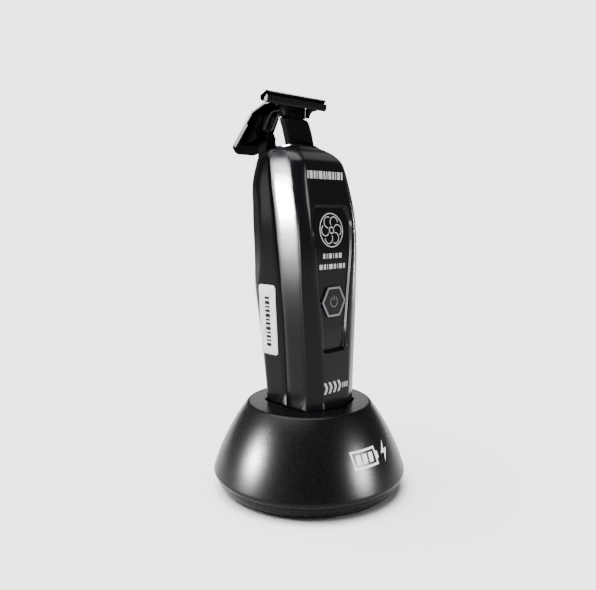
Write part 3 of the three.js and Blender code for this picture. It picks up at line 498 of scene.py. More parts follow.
def make_materials():
    made = {}
    made["body_plastic"] = new_material("body_plastic", (0.0012, 0.0012, 0.0016), 0.25, specular=0.07)
    add_grain(made["body_plastic"], 3800, 0.06, 0.2, 0.28)
    made["dock_plastic"] = new_material("dock_plastic", (0.0003, 0.0003, 0.0004), 0.33, specular=0.07)
    add_grain(made["dock_plastic"], 2400, 0.35, 0.22, 0.32)
    add_sparkle(made["dock_plastic"], 6500, (0.0003, 0.0003, 0.0004), (0.003, 0.003, 0.0033))
    made["dark_plastic"] = new_material("dark_plastic", (0.0014, 0.0014, 0.0016), 0.4, specular=0.08)
    add_grain(made["dark_plastic"], 3000, 0.12, 0.36, 0.5)
    made["button_plastic"] = new_material("button_plastic", (0.0012, 0.0012, 0.0015), 0.25, specular=0.08)
    add_grain(made["button_plastic"], 2500, 0.03, 0.2, 0.27)
    made["ring_grey"] = new_material("ring_grey", (0.1, 0.1, 0.11), 0.34, metallic=0.9)
    add_grain(made["ring_grey"], 2600, 0.08, 0.28, 0.42)
    made["rubber"] = new_material("rubber", (0.02, 0.02, 0.02), 0.85)
    add_grain(made["rubber"], 1500, 0.3, 0.75, 0.92)
    made["steel"] = new_material("steel", (0.62, 0.62, 0.64), 0.28, metallic=1)
    add_grain(made["steel"], 900, 0.08, 0.2, 0.36, stretch=(1, 6, 6))
    made["plate_metal"] = new_material("plate_metal", (0.009, 0.009, 0.0095), 0.3, 1, edge_tint=0)
    add_grain(made["plate_metal"], 1500, 0.06, 0.45, 0.6, stretch=(8, 1, 1))
    polish_edge(made["plate_metal"], 9.3, 12, lift=0.4)
    made["black_blade"] = new_material("black_blade", (0.024, 0.024, 0.026), 0.34, 1, edge_tint=0)
    add_grain(made["black_blade"], 1400, 0.06, 0.26, 0.4, stretch=(1, 5, 5))
    polish_edge(made["black_blade"], 19.9, 21, lift=0.4)
    made["fixed_blade"] = new_material("fixed_blade", (0.005, 0.005, 0.0055), 0.34, 1, edge_tint=0)
    add_grain(made["fixed_blade"], 1400, 0.06, 0.26, 0.4, stretch=(1, 5, 5))
    polish_edge(made["fixed_blade"], 9.25, 9.6, 18, lift=0.3)
    made["bracket_black"] = new_material("bracket_black", (0.010, 0.010, 0.0105), 0.4, 1, edge_tint=0)
    add_grain(made["bracket_black"], 3000, 0.12, 0.36, 0.5)
    made["spring_steel"] = new_material("spring_steel", (0.012, 0.012, 0.013), 0.35, metallic=0.8)
    add_grain(made["spring_steel"], 2500, 0.05, 0.3, 0.42)
    made["screw_black"] = new_material("screw_black", (0.03, 0.03, 0.032), 0.3, metallic=0.9)
    add_grain(made["screw_black"], 2500, 0.05, 0.25, 0.38)
    made["zinc"] = new_material("zinc", (0.4, 0.4, 0.41), 0.45, metallic=0.9)
    add_grain(made["zinc"], 900, 0.2, 0.35, 0.55)
    made["brass"] = new_material("brass", (0.72, 0.52, 0.25), 0.3, metallic=1)
    add_grain(made["brass"], 1200, 0.1, 0.22, 0.38)
    made["gold_contact"] = new_material("gold_contact", (0.83, 0.63, 0.3), 0.22, metallic=1)
    add_grain(made["gold_contact"], 1500, 0.06, 0.18, 0.3)
    made["copper"] = new_material("copper", (0.6, 0.3, 0.15), 0.35, metallic=1)
    add_grain(made["copper"], 700, 0.5, 0.28, 0.45, stretch=(1, 1, 9))
    made["board"] = new_material("board", (0.02, 0.13, 0.05), 0.35)
    add_grain(made["board"], 1500, 0.1, 0.3, 0.45)
    made["battery_sleeve"] = new_material("battery_sleeve", (0.05, 0.15, 0.4), 0.3)
    add_grain(made["battery_sleeve"], 800, 0.1, 0.25, 0.4)
    made["label_paper"] = new_material("label_paper", (0.8, 0.8, 0.81), 0.6, specular=0.1)
    add_grain(made["label_paper"], 2500, 0.1, 0.42, 0.58)
    made["print_white"] = new_material("print_white", (0.16, 0.16, 0.165), 0.5, specular=0.2)
    add_grain(made["print_white"], 3000, 0.1, 0.42, 0.58)
    made["print_black"] = new_material("print_black", (0.004, 0.004, 0.004), 0.55, specular=0.1)
    add_grain(made["print_black"], 3000, 0.1, 0.48, 0.62)
    return made


# ---------------------------------------------------------------- clipper shells


def shell_heights():
    """Heights of the rings of points, closer together at the foot, at the panel's ends and at the crown."""
    heights = FOOT_LAYERS + spaced(*BODY_LAYERS) + PANEL_FOOT_LAYERS + spaced(*PANEL_TOP_LAYERS)
    heights += spaced(*CROWN_LAYERS) + [CROWN_TOP_LAYER]
    low, middle, high = PANEL_FOOT_LAYERS
    return sorted({round(z, 3) for z in heights if not low < z < high or z == middle} | {SHELL_TOP})


def bottom_inset(z):
    """How far the lower edge of the clipper is drawn in at height z."""
    rise = min(1.0, (z - SHELL_FOOT["z"]) / SHELL_FOOT["height"])
    return SHELL_FOOT["inset"] * (1 - math.sqrt(max(0.0, 1 - (1 - rise) ** 2)))


def front_columns(z):
    """Half of the front shell's outline at height z, from the middle of its face to the seam."""
    s = section(z)
    half = panel_half(z, s["xb"])
    inner = max(0.5, half - PANEL_SLOPE)
    flat, wall = FACE_STEPS["flat"], FACE_STEPS["wall"]
    steps = [inner * i / flat for i in range(flat + 1)]
    steps += [inner + (half - inner) * i / wall for i in range(1, wall + 1)]
    points = [(x, s["yf"] + panel_depth(x, z, half)) for x in steps]
    below_side = (s["w"], s["yc"] + CHAMFER["side_run"])
    soft = fillet((s["xb"], s["yf"]), (half, s["yf"]), (s["w"], s["yc"]), CHAMFER["face_soft"], steps=6)
    edge = fillet((s["w"], s["yc"]), (s["xb"], s["yf"]), below_side, CHAMFER["side_soft"], steps=5)
    seam = seam_y(z) - SEAM_GAP
    rim = [(s["w"] - inward, seam - before) for inward, before in FRONT_RIM]
    points += between(points[-1], soft[0], 2)[:-1] + soft + between(soft[-1], edge[0], 2)[:-1] + edge
    points += between(edge[-1], rim[0], 4) + rim[1:]
    return points


def rear_columns(z):
    """Half of the rear shell's outline at height z, from the seam to the middle of its back."""
    s = section(z)
    seam = seam_y(z) + SEAM_GAP
    points = [(s["w"] - inward, seam + past) for inward, past in REAR_RIM]
    room = s["yb"] - seam - REAR_CORNER["clear_of_seam"]
    radius = min(s["rr"], room, s["w"] - REAR_CORNER["clear_of_middle"])
    points += between(points[-1], (s["w"], s["yb"] - radius), 4)
    for i in range(1, REAR_CORNER["steps"] + 1):
        a = i / REAR_CORNER["steps"] * math.pi / 2
        points.append((s["w"] - radius + radius * math.cos(a), s["yb"] - radius + radius * math.sin(a)))
    points += between(points[-1], (0, s["yb"]), 3)
    return [scalloped(x, y, z) for x, y in points]


def scalloped(x, y, z):
    """Flattens the rear corner into the lens-shaped grip facet."""
    along = (z - SCALLOP["z"]) / SCALLOP["half"]
    if abs(along) >= 1:
        return (x, y)
    s = section(z)
    a = math.radians(SCALLOP["angle"])
    direction = Vector((math.cos(a), math.sin(a)))
    reach = Vector((s["w"] - s["rr"], s["yb"] - s["rr"])).dot(direction) + s["rr"]
    over = Vector((x, y)).dot(direction) - (reach - SCALLOP["depth"] * (1 - along ** 4))
    moved = Vector((x, y)) - direction * max(0.0, over)
    return (moved.x, moved.y)


def build_shell(name, node_name, columns, material, cutters):
    """One skin of the body, open at the seam, thickened inwards and cut."""
    points = []
    heights = shell_heights()
    for z in heights:
        right = columns(z)
        shrink = 1 - bottom_inset(z) / SHELL_FOOT["half"]
        right = [(x * shrink, y * shrink) for x, y in right]
        if columns is front_columns:
            ring = [(-x, y) for x, y in reversed(right[1:])] + right
        else:
            ring = right + [(-x, y) for x, y in reversed(right[:-1])]
        points += [(x, y, z) for x, y in ring]
    count = len(points) // len(heights)
    faces = grid_faces(len(heights), count)
    faces += strip_cap(0, count) + strip_cap((len(heights) - 1) * count, count)
    obj = mesh_object(name, points, faces, material)
    outward(obj)
    face = obj.data.polygons[0]
    from_axis = face.normal.dot(Vector((face.center.x, face.center.y, 0)) - Vector((0, BODY_MIDDLE * MM, 0)))
    if from_axis < 0:
        obj.data.flip_normals()
    modify(obj, "SOLIDIFY", thickness=SKIN * MM, offset=-1)
    apply_modifiers(obj)
    carve(obj, cutters)
    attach(obj, "clipper")
    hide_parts(node_name)


def neck_cutter():
    """The opening in the top of the body that the front post stands in."""
    hole = NECK_HOLE
    outline = rounded_outline(hole["half"], hole["front"], hole["back"], TONGUE["soft"], hole["back_soft"])
    return prism(outline, hole["low"], hole["high"])


def button_cutter():
    """The hexagonal window for the button and its ring."""
    outline = ring_points(BUTTON["hole"], SIDES["button"], y=BUTTON["z"])
    return prism(outline, BUTTON["from"], BUTTON["to"], "y")


def bracket_cutter():
    """The slot at the back of the crown for the head bracket's post."""
    slot = BRACKET_SLOT
    outline = box_outline((-slot["half"], slot["front"]), (slot["half"], slot["back"]))
    return prism(outline, slot["low"], slot["high"])


def contact_cutters():
    hole = CONTACT_HOLE
    cutters = []
    for x in (-hole["x"], hole["x"]):
        outline = ring_points(hole["radius"], SIDES["hole"], x=x, y=hole["y"])
        cutters.append(prism(outline, hole["low"], hole["high"]))
    return cutters


def screw_cutters():
    """The wells of the four shell screws, deeper at the foot than at the top."""
    cutters = []
    for name in SHELL_SCREWS:
        x, _, z = centre_of(*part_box(name))
        start = SCREW_HOLE["low_from" if z < SCREW_HOLE["split"] else "high_from"]
        outline = ring_points(SCREW_HOLE["radius"], SIDES["screw"], x=x, y=z)
        cutters.append(prism(outline, start, SCREW_HOLE["to"], "y"))
    return cutters


def build_shells(made):
    front_holes = [button_cutter(), neck_cutter()]
    build_shell("front_case", "front_shell", front_columns, made["body_plastic"], front_holes)
    rear_holes = [neck_cutter(), bracket_cutter()] + contact_cutters() + screw_cutters()
    build_shell("rear_case", "rear_shell", rear_columns, made["body_plastic"], rear_holes)


# ---------------------------------------------------------------- neck


def build_tongue(made):
    """The curved front post of the neck, hollow at its back for the drive lever."""
    points = []
    levels = sorted(set(spaced(*TONGUE_LAYERS) + TONGUE_TOP_LAYERS))
    for z in levels:
        front, back = table_value(TONGUE_FRONT, 1, z), table_value(TONGUE_BACK, 1, z)
        drop = max(0.0, z - TONGUE["shoulder"]) / (TONGUE["top"] - TONGUE["shoulder"])
        half = TONGUE["half"] - TONGUE["crown"] * (1 - math.sqrt(max(0.0, 1 - drop * drop)))
        radius = min(TONGUE["soft"], (back - front) * FILLET_SHARE)
        points += [(x, y, z) for x, y in rounded_outline(half, front, back, radius, TONGUE["back_soft"])]
    count = len(points) // len(levels)
    faces = grid_faces(len(levels), count, closed=True) + end_caps(count, len(points))
    tongue = mesh_object("neck_tongue", points, faces, made["dark_plastic"])
    outward(tongue)
    channel = [(y, z) for z, y in TONGUE_CHANNEL]
    channel += [(CHANNEL["back"], TONGUE_CHANNEL[-1][0]), (CHANNEL["back"], TONGUE_CHANNEL[0][0])]
    pin_hole = ring_points(PIN_HOLE["radius"], SIDES["hole"], y=PIN_HOLE["z"])
    carve(tongue, [prism(channel, -CHANNEL["half"], CHANNEL["half"], "x"),
                   prism(pin_hole, 0, PIN_HOLE["depth"], "y")])
    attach(tongue, "clipper")
    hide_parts("drive_housing")


def build_collar(made):
    """A thin trim ring around the front post where it leaves the body."""
    outline = rounded_outline(*[COLLAR[key] for key in ("half", "front", "back", "soft", "back_soft")])
    hole = rounded_outline(TONGUE["half"], COLLAR_HOLE["front"], COLLAR_HOLE["back"], TONGUE["soft"],
                           TONGUE["back_soft"])
    collar = prism(outline, COLLAR["low"], COLLAR["high"])
    collar.name = "neck_collar"
    carve(collar, [prism(hole, COLLAR_HOLE["low"], COLLAR_HOLE["high"])])
    soften(collar, COLLAR["edge"], COLLAR["corner"], harden=False)
    collar.data.materials.clear()
    collar.data.materials.append(made["dark_plastic"])
    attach(collar, "clipper")


# ---------------------------------------------------------------- dock


def turned(name, profile, segments, material, smooth=DOCK_SMOOTH):
    """A closed turned body from its closed [radius, height] outline."""
    count = len(profile)
    points = []
    for k in range(segments):
        a = k / segments * math.tau
        points += [(r * math.cos(a), r * math.sin(a), z) for r, z in profile]
    faces = []
    for k in range(segments):
        for i in range(count):
            j = (i + 1) % count
            n = (k + 1) % segments
            faces.append((k * count + i, n * count + i, n * count + j, k * count + j))
    obj = mesh_object(name, points, faces, material, smooth)
    outward(obj)
    return obj


def dock_flank(inset=0.0, steps=26):
    """Points down the dome from its flat top to its widest ring."""
    run, rise = DOCK["radius"] - DOCK["top_radius"], DOCK["top"] - DOCK["wide"]
    chord = math.hypot(run, rise)
    points = []
    for i in range(steps + 1):
        t = i / steps
        bulge = 4 * DOCK["sag"] * t * (1 - t) - inset
        radius = DOCK["top_radius"] + run * t + bulge * rise / chord
        points.append((radius, DOCK["top"] - rise * t + bulge * run / chord))
    return points


def socket_outline(grow):
    """The foot of the clipper, grown all round."""
    s = section(SOCKET["z"])
    w, yf, yb = s["w"] + grow, s["yf"] - grow, s["yb"] + grow
    rr, xb = s["rr"] + grow * SOCKET["corner_grow"], s["xb"] + grow * SOCKET["corner_grow"]
    yc = s["yc"] - grow * SOCKET["chamfer_grow"]
    right = fillet((xb, yf), (0, yf), (w, yc), SOCKET["face_soft"], steps=4)
    right += fillet((w, yc), (xb, yf), (w, 0), SOCKET["side_soft"], steps=4)
    for i in range(SOCKET["steps"] + 1):
        a = i / SOCKET["steps"] * math.pi / 2
        right.append((w - rr + rr * math.cos(a), yb - rr + rr * math.sin(a)))
    return right + [(-x, y) for x, y in reversed(right)]


def mouth_cutter():
    """The clipper's opening with a soft chamfer at the top."""
    rings = [[(x, y, z) for x, y in socket_outline(grow)] for z, grow in MOUTH]
    count = len(rings[0])
    points = [p for ring in rings for p in ring]
    faces = grid_faces(len(rings), count, closed=True) + end_caps(count, len(points))
    return cutter_object(points, faces)


def inlet_cutter():
    """The window in the dome for the charging inlet."""
    low, high = [[c / MM for c in corner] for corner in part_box("charge_inlet")]
    gap = INLET_HOLE["gap"]
    outline = box_outline((low[0] - gap, INLET_HOLE["from"]), (high[0] + gap, INLET_HOLE["to"]))
    return prism(outline, low[2] - gap, high[2] + gap)


def build_dock(made):
    """The dome: a turned wall with a soft top edge and a turned-in foot."""
    hub, flank = DOCK["hub"], dock_flank()
    rim = (DOCK["top_radius"], DOCK["top"])
    outer = [(hub, DOCK["top"])] + fillet(rim, (2 * hub, DOCK["top"]), flank[3], DOCK["soft"], steps=6)
    outer += flank[4:-1]
    outer += fillet((DOCK["radius"], DOCK["wide"]), flank[-2], DOCK["waist"], DOCK["waist_soft"], steps=6)
    inner = list(reversed(dock_flank(DOCK["wall"], steps=12)[1:-1]))
    inner += [(DOCK["inside_radius"], DOCK["inside_top"]), (hub, DOCK["inside_top"])]
    dome = turned("dock_dome", outer + DOCK_EDGE + inner, DOCK_SEGMENTS, made["dock_plastic"])
    carve(dome, [mouth_cutter(), inlet_cutter()], DOCK_SMOOTH)
    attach(dome, "dock")
    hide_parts("dock_shell")


def build_dock_base(made):
    """The dish under the dome: a rolled lip, a recess for the pad and three screw wells."""
    lip = []
    for i in range(LIP["steps"] + 1):
        z = LIP["low"] + (LIP["high"] - LIP["low"]) * i / LIP["steps"]
        bulge = math.sqrt(LIP["radius"] ** 2 - (LIP["radius"] - z) ** 2)
        lip.append((LIP["centre"] + LIP["squeeze"] * bulge, z))
    under = [(DOCK["hub"], BASE["under"]), (BASE["recess"], BASE["under"]),
             (BASE["recess"], LIP["low"] + BASE["rim_soft"]), (BASE["rim"], LIP["low"])]
    inside = [(lip[-1][0] - BASE["lip_skin"], LIP["high"] + BASE["lip_soft"]), (BASE["inside"], LIP["high"]),
              (BASE["inside"], BASE["floor"]), (DOCK["hub"], BASE["floor"])]
    base = turned("base_dish", under + lip + inside, DOCK_SEGMENTS, made["dock_plastic"])
    well = SCREW_WELL
    wells = []
    for name in DOCK_SCREWS:
        x, y, _ = centre_of(*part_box(name))
        head = ring_points(well["head"], SIDES["well"], x=x, y=y)
        shank = ring_points(well["shank"], SIDES["hole"], x=x, y=y)
        wells.append(prism(head, well["head_low"], well["head_high"]))
        wells.append(prism(shank, well["shank_low"], well["shank_high"]))
    carve(base, wells, DOCK_SMOOTH)
    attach(base, "dock")
    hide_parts("dock_base")


# ---------------------------------------------------------------- printed marks, millimetres
FACE_LIFT = 0.05
TOP_ROW = {"x": -12.6, "z": 150.6, "height": 3.6, "lean": 0.5, "gap": 0.75,
           "widths": (0.7, 1.9, 1.2, 0.7, 2.4, 1.2, 0.7, 1.9, 1.2, 0.7, 1.9, 1.2)}
BAR_ROWS = [
    {"z": 113.9, "half": 6.4, "height": 2.3, "widths": (1.4, 0.5, 2.0, 0.5, 1.4, 2.0)},
    {"z": 108.9, "half": 8.8, "height": 2.3, "widths": (2.0, 1.4, 0.5, 2.4, 1.4, 0.5, 2.0, 1.4)},
]
FAN = {"z": 127.0, "radius": 8.0, "line": 0.45, "hub": 1.3, "ring_steps": 48, "hub_steps": 20}
FAN_BLADE = {"count": 6, "at": 4.2, "radius": 2.35, "line": 0.4, "from": -60, "to": 150, "steps": 14}
CHEVRON = {"count": 4, "x": -8.6, "pitch": 3.1, "width": 1.5, "tip": 1.4, "low": 50.2, "middle": 52.9,
           "high": 55.6}
SHORT_BAR = {"count": 3, "x": 4.2, "pitch": 1.5, "z": 51.4, "width": 0.8, "height": 2.6, "lean": 0.2}
POWER = {"radius": 2.2, "line": 0.35, "from": -240, "to": 60, "bar_half": 0.18, "bar_low": 0.6, "bar_high": 3,
         "y": -16.39}
BATTERY = {"low": 20.3, "high": 27.8, "line": 0.9, "left": -13.0, "right": 1.6, "cap_half": 1.5, "cap": 1.2}
CHARGE = {"count": 3, "inset": 2.0, "pitch": 3.7, "width": 2.5, "margin": 1.8, "lean": 0.5}
BOLT = [
    [(9.6, 28.4), (5.4, 23.6), (7.8, 23.6)],
    [(6.8, 19.8), (11.0, 24.8), (8.6, 24.8)],
    [(7.8, 23.6), (11.0, 24.8), (8.6, 24.8), (5.4, 23.6)],
]
DOCK_MARK = {"angle": -90, "lift": 0.06, "steps": 60}
LABEL = {"corner": 1.6, "corner_steps": 6, "lift": 0.3, "thick": 0.25}
LABEL_BARS = {"lift": 0.55, "low": 4.2, "high": 4.0, "start": 4.0, "gap": 0.9,
              "widths": (1.6, 0.8, 1.2, 0.8, 1.6, 1.2, 0.8, 1.6, 1.2, 0.8, 1.6, 1.2)}


def stamp(name, polygons, place, body, material, cuts=3):
    """Thin printed shapes, drawn flat and laid onto a surface by place(u, v)."""
    bm = bmesh.new()
    for polygon in polygons:
        bm.faces.new([bm.verts.new((u, v, 0)) for u, v in polygon])
    bmesh.ops.triangulate(bm, faces=bm.faces)
    bmesh.ops.subdivide_edges(bm, edges=bm.edges, cuts=cuts, use_grid_fill=True)
    for vertex in bm.verts:
        vertex.co = Vector(place(vertex.co.x, vertex.co.y)) * MM
    mesh = bpy.data.meshes.new(name)
    bm.to_mesh(mesh)
    bm.free()
    obj = finish_mesh(name, mesh, material)
    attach(obj, body)
    return obj


def on_face(x, z):
    return (x, face_y(x, z) - FACE_LIFT, z)


def slanted_bar(x, z, width, height, lean):
    return [(x, z), (x + width, z), (x + width + lean, z + height), (x + lean, z + height)]


def bar_row(x, z, widths, gap, height, lean=0.0):
    """Bars of several widths, side by side with one gap between them."""
    bars = []
    for width in widths:
        bars.append(slanted_bar(x, z, width, height, lean))
        x += width + gap
    return bars


def arc_band(radius, width, start, end, centre, steps=24):
    """A curved band between two angles in degrees, as one quad for each step."""
    inner, outer = [], []
    for i in range(steps + 1):
        a = math.radians(start + (end - start) * i / steps)
        outer.append((centre[0] + (radius + width) * math.cos(a), centre[1] + (radius + width) * math.sin(a)))
        inner.append((centre[0] + radius * math.cos(a), centre[1] + radius * math.sin(a)))
    return [[outer[i], outer[i + 1], inner[i + 1], inner[i]] for i in range(steps)]


def fan_icon():
    """A plain line drawing of a small fan: a ring, a hub and curved blades."""
    middle = (0, FAN["z"])
    shapes = arc_band(FAN["radius"] - FAN["line"], FAN["line"], 0, 360, middle, FAN["ring_steps"])
    shapes += arc_band(FAN["hub"], FAN["line"], 0, 360, middle, FAN["hub_steps"])
    blade = FAN_BLADE
    for k in range(blade["count"]):
        turn = k * 360 // blade["count"]
        a = math.radians(turn)
        centre = (middle[0] + blade["at"] * math.cos(a), middle[1] + blade["at"] * math.sin(a))
        start, end = turn + blade["from"], turn + blade["to"]
        shapes += arc_band(blade["radius"], blade["line"], start, end, centre, blade["steps"])
    return shapes


def chevron_shapes():
    """A row of chevrons and short bars near the foot of the face."""
    shapes = []
    low, middle, high = CHEVRON["low"], CHEVRON["middle"], CHEVRON["high"]
    for k in range(CHEVRON["count"]):
        x = CHEVRON["x"] + k * CHEVRON["pitch"]
        foot, tip = (x, x + CHEVRON["width"]), (x + CHEVRON["tip"], x + CHEVRON["width"] + CHEVRON["tip"])
        shapes.append([(foot[0], low), (foot[1], low), (tip[1], middle), (tip[0], middle)])
        shapes.append([(tip[0], middle), (tip[1], middle), (foot[1], high), (foot[0], high)])
    bar = SHORT_BAR
    for k in range(bar["count"]):
        x = bar["x"] + k * bar["pitch"]
        shapes.append(slanted_bar(x, bar["z"], bar["width"], bar["height"], bar["lean"]))
    return shapes


def power_icon():
    """A broken ring with a bar in its gap."""
    shapes = arc_band(POWER["radius"], POWER["line"], POWER["from"], POWER["to"], (0, BUTTON["z"]))
    low, high = BUTTON["z"] + POWER["bar_low"], BUTTON["z"] + POWER["bar_high"]
    shapes.append(box_outline((-POWER["bar_half"], low), (POWER["bar_half"], high)))
    return shapes


def build_marks(made):
    white = made["print_white"]
    row = TOP_ROW
    top_row = bar_row(row["x"], row["z"], row["widths"], row["gap"], row["height"], row["lean"])
    stamp("mark_top_row", top_row, on_face, "clipper", white)
    stamp("mark_rotor", fan_icon(), on_face, "clipper", white, 1)
    rows = []
    for row in BAR_ROWS:
        gap = (2 * row["half"] - sum(row["widths"])) / (len(row["widths"]) - 1)
        rows += bar_row(-row["half"], row["z"], row["widths"], gap, row["height"])
    stamp("mark_bar_rows", rows, on_face, "clipper", white)
    stamp("mark_chevrons", chevron_shapes(), on_face, "clipper", white)
    stamp("mark_power", power_icon(), lambda u, v: (u, POWER["y"], v), "power_button", made["ring_grey"], 1)


def on_dock(angle_degrees):
    """Lays a flat drawing on the dock's flank, centred at an angle round it."""
    flank = dock_flank(-DOCK_MARK["lift"], DOCK_MARK["steps"])

    def place(u, v):
        t = min(1.0, max(0.0, (DOCK["top"] - v) / (DOCK["top"] - DOCK["wide"])))
        k = min(len(flank) - 2, int(t * (len(flank) - 1)))
        r, z = Vector(flank[k]).lerp(Vector(flank[k + 1]), t * (len(flank) - 1) - k)
        a = math.radians(angle_degrees) + u / r
        return (r * math.cos(a), r * math.sin(a), z)

    return place


def build_dock_mark(made):
    """A battery outline, three charge bars and a bolt."""
    low, high, line = BATTERY["low"], BATTERY["high"], BATTERY["line"]
    left, right = BATTERY["left"], BATTERY["right"]
    middle = (low + high) / 2
    cap_low, cap_high = middle - BATTERY["cap_half"], middle + BATTERY["cap_half"]
    shapes = [box_outline((left, low), (right, low + line)), box_outline((left, high - line), (right, high))]
    shapes.append(box_outline((left, low + line), (left + line, high - line)))
    shapes.append(box_outline((right - line, low + line), (right, high - line)))
    shapes.append(box_outline((right, cap_low), (right + BATTERY["cap"], cap_high)))
    height = high - low - 2 * CHARGE["margin"]
    for k in range(CHARGE["count"]):
        x = left + CHARGE["inset"] + CHARGE["pitch"] * k
        shapes.append(slanted_bar(x, low + CHARGE["margin"], CHARGE["width"], height, CHARGE["lean"]))
    shapes += BOLT
    stamp("mark_battery", shapes, on_dock(DOCK_MARK["angle"]), "dock", made["print_white"], 4)


def side_x(z, lift):
    return -(section(z)["w"] + lift)


def label_outline(low, high):
    """The label's edge in [y, z], with round corners."""
    corner = LABEL["corner"]
    outline = []
    corners = [(high[1], high[2], 0), (low[1], high[2], 90), (low[1], low[2], 180), (high[1], low[2], 270)]
    for y, z, start in corners:
        cy = y - corner if start in (0, 270) else y + corner
        cz = z - corner if start in (0, 90) else z + corner
        for i in range(LABEL["corner_steps"] + 1):
            a = math.radians(start + 90 * i / LABEL["corner_steps"])
            outline.append((cy + corner * math.cos(a), cz + corner * math.sin(a)))
    return outline


def build_label(made):
    """A white label with rounded corners and plain bars, on the clipper's left side."""
    low, high = [[c / MM for c in corner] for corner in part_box("serial_label")]
    outline = label_outline(low, high)
    middle = ((low[1] + high[1]) / 2, (low[2] + high[2]) / 2)
    sheet = [[middle, outline[i], outline[(i + 1) % len(outline)]] for i in range(len(outline))]
    label = stamp("label_sheet", sheet, lambda y, z: (side_x(z, LABEL["lift"]), y, z), "clipper",
                  made["label_paper"], 5)
    modify(label, "SOLIDIFY", thickness=LABEL["thick"] * MM, offset=0)
    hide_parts("serial_label")
    bars = []
    z = low[2] + LABEL_BARS["start"]
    for width in LABEL_BARS["widths"]:
        bars.append(box_outline((low[1] + LABEL_BARS["low"], z), (high[1] - LABEL_BARS["high"], z + width)))
        z += width + LABEL_BARS["gap"]
    stamp("label_bars", bars, lambda y, z: (side_x(z, LABEL_BARS["lift"]), y, z), "clipper",
          made["print_black"], 2)


# ---------------------------------------------------------------- carried-over nodes


OWN_MATERIAL = {"fixed_blade": "fixed_blade", "tension_spring": "spring_steel",
                "head_bracket": "bracket_black", "cutter_carrier": "bracket_black"}
SOFT_NODES = ("head_bracket", "blade_plate", "cutter_carrier", "button_cap", "button_ring",
              "blade_screw_left", "blade_screw_right")
SOFT_EDGE = 0.18
BLADE_EDGE = 0.05


def dress_nodes(made):
    """Gives each CAD node its material and takes the sharpness off the outer ones."""
    slots = {part["node"]: part["material_slot"] for part in frame["record"]["subparts"]}
    own = {**OWN_MATERIAL, **{name: "screw_black" for name in SHELL_SCREWS}}
    for name, obj in frame["nodes"].items():
        obj.data.materials.clear()
        obj.data.materials.append(made[own.get(name, slots[name])])
    for name in SOFT_NODES:
        soften(frame["nodes"][name], SOFT_EDGE)
    for name in ("fixed_blade", "cutter_blade"):
        soften(frame["nodes"][name], BLADE_EDGE)


# ---------------------------------------------------------------- camera, floor and light
FLOOR_HALF = 1.3
FLOOR_COLOR = (0.93, 0.93, 0.93)
ROOM_LIGHT = 0.22
BACKDROP_LIGHT = 4.3
SKY_LIGHT = 11.5
SKY_ANGLE = 60
SKY_FROM = (-0.15, 0.15, 0.95)
CAMERA = {"yaw": -44.60, "pitch": 7.314, "place": (-0.21975, -0.21500, 0.13456), "lens": 38.19,
          "sensor": 36, "near": 0.01}


def build_camera():
    """The camera stands at CAMERA["place"], turned by its yaw and raised by its pitch."""
    camera = bpy.data.objects.new("camera", bpy.data.cameras.new("camera"))
    bpy.context.collection.objects.link(camera)
    a, e = math.radians(CAMERA["yaw"]), math.radians(CAMERA["pitch"])
    back = Vector((math.sin(a) * math.cos(e), -math.cos(a) * math.cos(e), math.sin(e)))
    right = Vector((math.cos(a), math.sin(a), 0))
    up = back.cross(right)
    turn = Matrix((right, up, back)).transposed()
    camera.matrix_world = Matrix.Translation(CAMERA["place"]) @ turn.to_4x4()
    camera.data.lens = CAMERA["lens"]
    camera.data.sensor_width = CAMERA["sensor"]
    camera.data.clip_start = CAMERA["near"]
    bpy.context.scene.camera = camera


HEAD = ("neck_tongue", "neck_collar", "head_bracket", "blade_plate", "fixed_blade", "cutter_blade",
        "cutter_carrier", "tension_spring", "blade_screw_left", "blade_screw_right")
DOCK_BODIES = ("dock", "charge_pin_left", "charge_pin_right")
FRONT = ("front_case", "button_cap", "button_ring")
LIT_GROUPS = ("front", "rear", "head", "dock")
receivers = {name: bpy.data.collections.new("lit_" + name) for name in LIT_GROUPS}


def group_of(piece):
    """Which group of pieces this one is lit with."""
    if body_of(piece)[0] in DOCK_BODIES:
        return "dock"
    if piece.name in HEAD:
        return "head"
    return "front" if piece.name in FRONT or piece.name.startswith("mark") else "rear"


def area_light(name, group, place, target, size, power, spread=180):
    data = bpy.data.lights.new(name, "AREA")
    data.shape = "RECTANGLE"
    data.size, data.size_y = size
    data.energy = power
    data.spread = math.radians(spread)
    light = bpy.data.objects.new(name, data)
    bpy.context.collection.objects.link(light)
    light.location = place
    light.rotation_euler = (Vector(target) - Vector(place)).to_track_quat("-Z", "Y").to_euler()
    light.light_linking.receiver_collection = receivers[group]


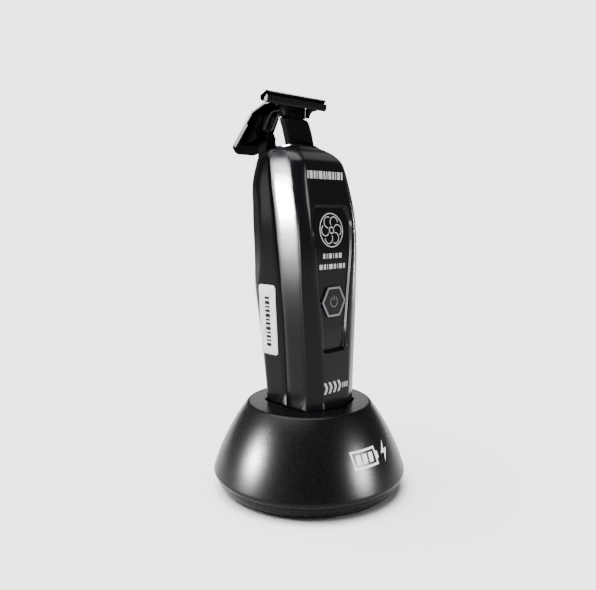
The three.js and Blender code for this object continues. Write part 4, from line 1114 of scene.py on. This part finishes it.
def build_floor():
    size = FLOOR_HALF
    corners = [(-size, -size, 0), (size, -size, 0), (size, size, 0), (-size, size, 0)]
    mesh = bpy.data.meshes.new("floor")
    mesh.from_pydata(corners, [], [(0, 1, 2, 3)])
    floor = bpy.data.objects.new("floor", mesh)
    bpy.context.collection.objects.link(floor)
    mesh.materials.append(new_material("floor", FLOOR_COLOR, 0.7, specular=0.2))
    floor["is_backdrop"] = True


def build_world():
    """An even room light, with a brighter backdrop behind the object."""
    world = bpy.data.worlds.new("studio")
    bpy.context.scene.world = world
    world.use_nodes = True
    nodes, links = world.node_tree.nodes, world.node_tree.links
    room = nodes["Background"]
    room.inputs["Color"].default_value = (1, 1, 1, 1)
    room.inputs["Strength"].default_value = ROOM_LIGHT
    backdrop = nodes.new("ShaderNodeBackground")
    backdrop.inputs["Strength"].default_value = BACKDROP_LIGHT
    ray = nodes.new("ShaderNodeLightPath")
    mix = nodes.new("ShaderNodeMixShader")
    links.new(ray.outputs["Is Camera Ray"], mix.inputs["Fac"])
    links.new(room.outputs["Background"], mix.inputs[1])
    links.new(backdrop.outputs["Background"], mix.inputs[2])
    links.new(mix.outputs["Shader"], nodes["World Output"].inputs["Surface"])


def build_lights():
    """Soft boxes, each for one group of pieces, and a wide sky light. Places in metres, power in watts."""
    area_light("side_box", "front", (-0.70, 0.73, 0.26), (-0.02, 0, 0.168), (0.20, 0.12), 3.5, 4)
    area_light("rear_box", "rear", (-0.70, 0.73, 0.26), (-0.02, 0, 0.13), (0.20, 0.26), 1.5)
    area_light("edge_box", "front", (0.26, -0.80, 0.44), (0, 0, 0.10), (0.08, 0.30), 10)
    area_light("wall_strip", "front", (-0.89, -0.40, 0.13), (0, 0, 0.10), (0.03, 0.24), 40)
    area_light("right_strip", "front", (0.95, -0.02, 0.10), (0, 0, 0.10), (0.03, 0.30), 6)
    area_light("top_box", "front", (0.70, 0.15, 0.80), (0, 0, 0.16), (0.25, 0.2), 0.25)
    area_light("head_box", "head", (-0.60, 0.70, 0.50), (0, 0, 0.18), (0.2, 0.2), 3)
    area_light("dock_box", "dock", (-0.77, 0.44, 0.31), (-0.03, 0, 0.03), (0.07, 0.08), 190)
    area_light("dock_fill", "dock", (0.32, -0.85, 0.26), (0.02, 0, 0.03), (0.16, 0.16), 70)
    area_light("dock_back", "dock", (0.72, 0.70, 0.36), (0, 0, 0.04), (0.5, 0.2), 1)
    sky = bpy.data.lights.new("sky", "SUN")
    sky.energy = SKY_LIGHT
    sky.angle = math.radians(SKY_ANGLE)
    sky_light = bpy.data.objects.new("sky", sky)
    bpy.context.collection.objects.link(sky_light)
    sky_light.rotation_euler = Vector(SKY_FROM).to_track_quat("Z", "Y").to_euler()


# ---------------------------------------------------------------- build
build_camera()
build_floor()
build_world()
build_lights()
materials = make_materials()
dress_nodes(materials)
build_shells(materials)
build_tongue(materials)
build_collar(materials)
build_dock(materials)
build_dock_base(materials)
build_marks(materials)
build_dock_mark(materials)
build_label(materials)

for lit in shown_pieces():
    receivers[group_of(lit)].objects.link(lit)
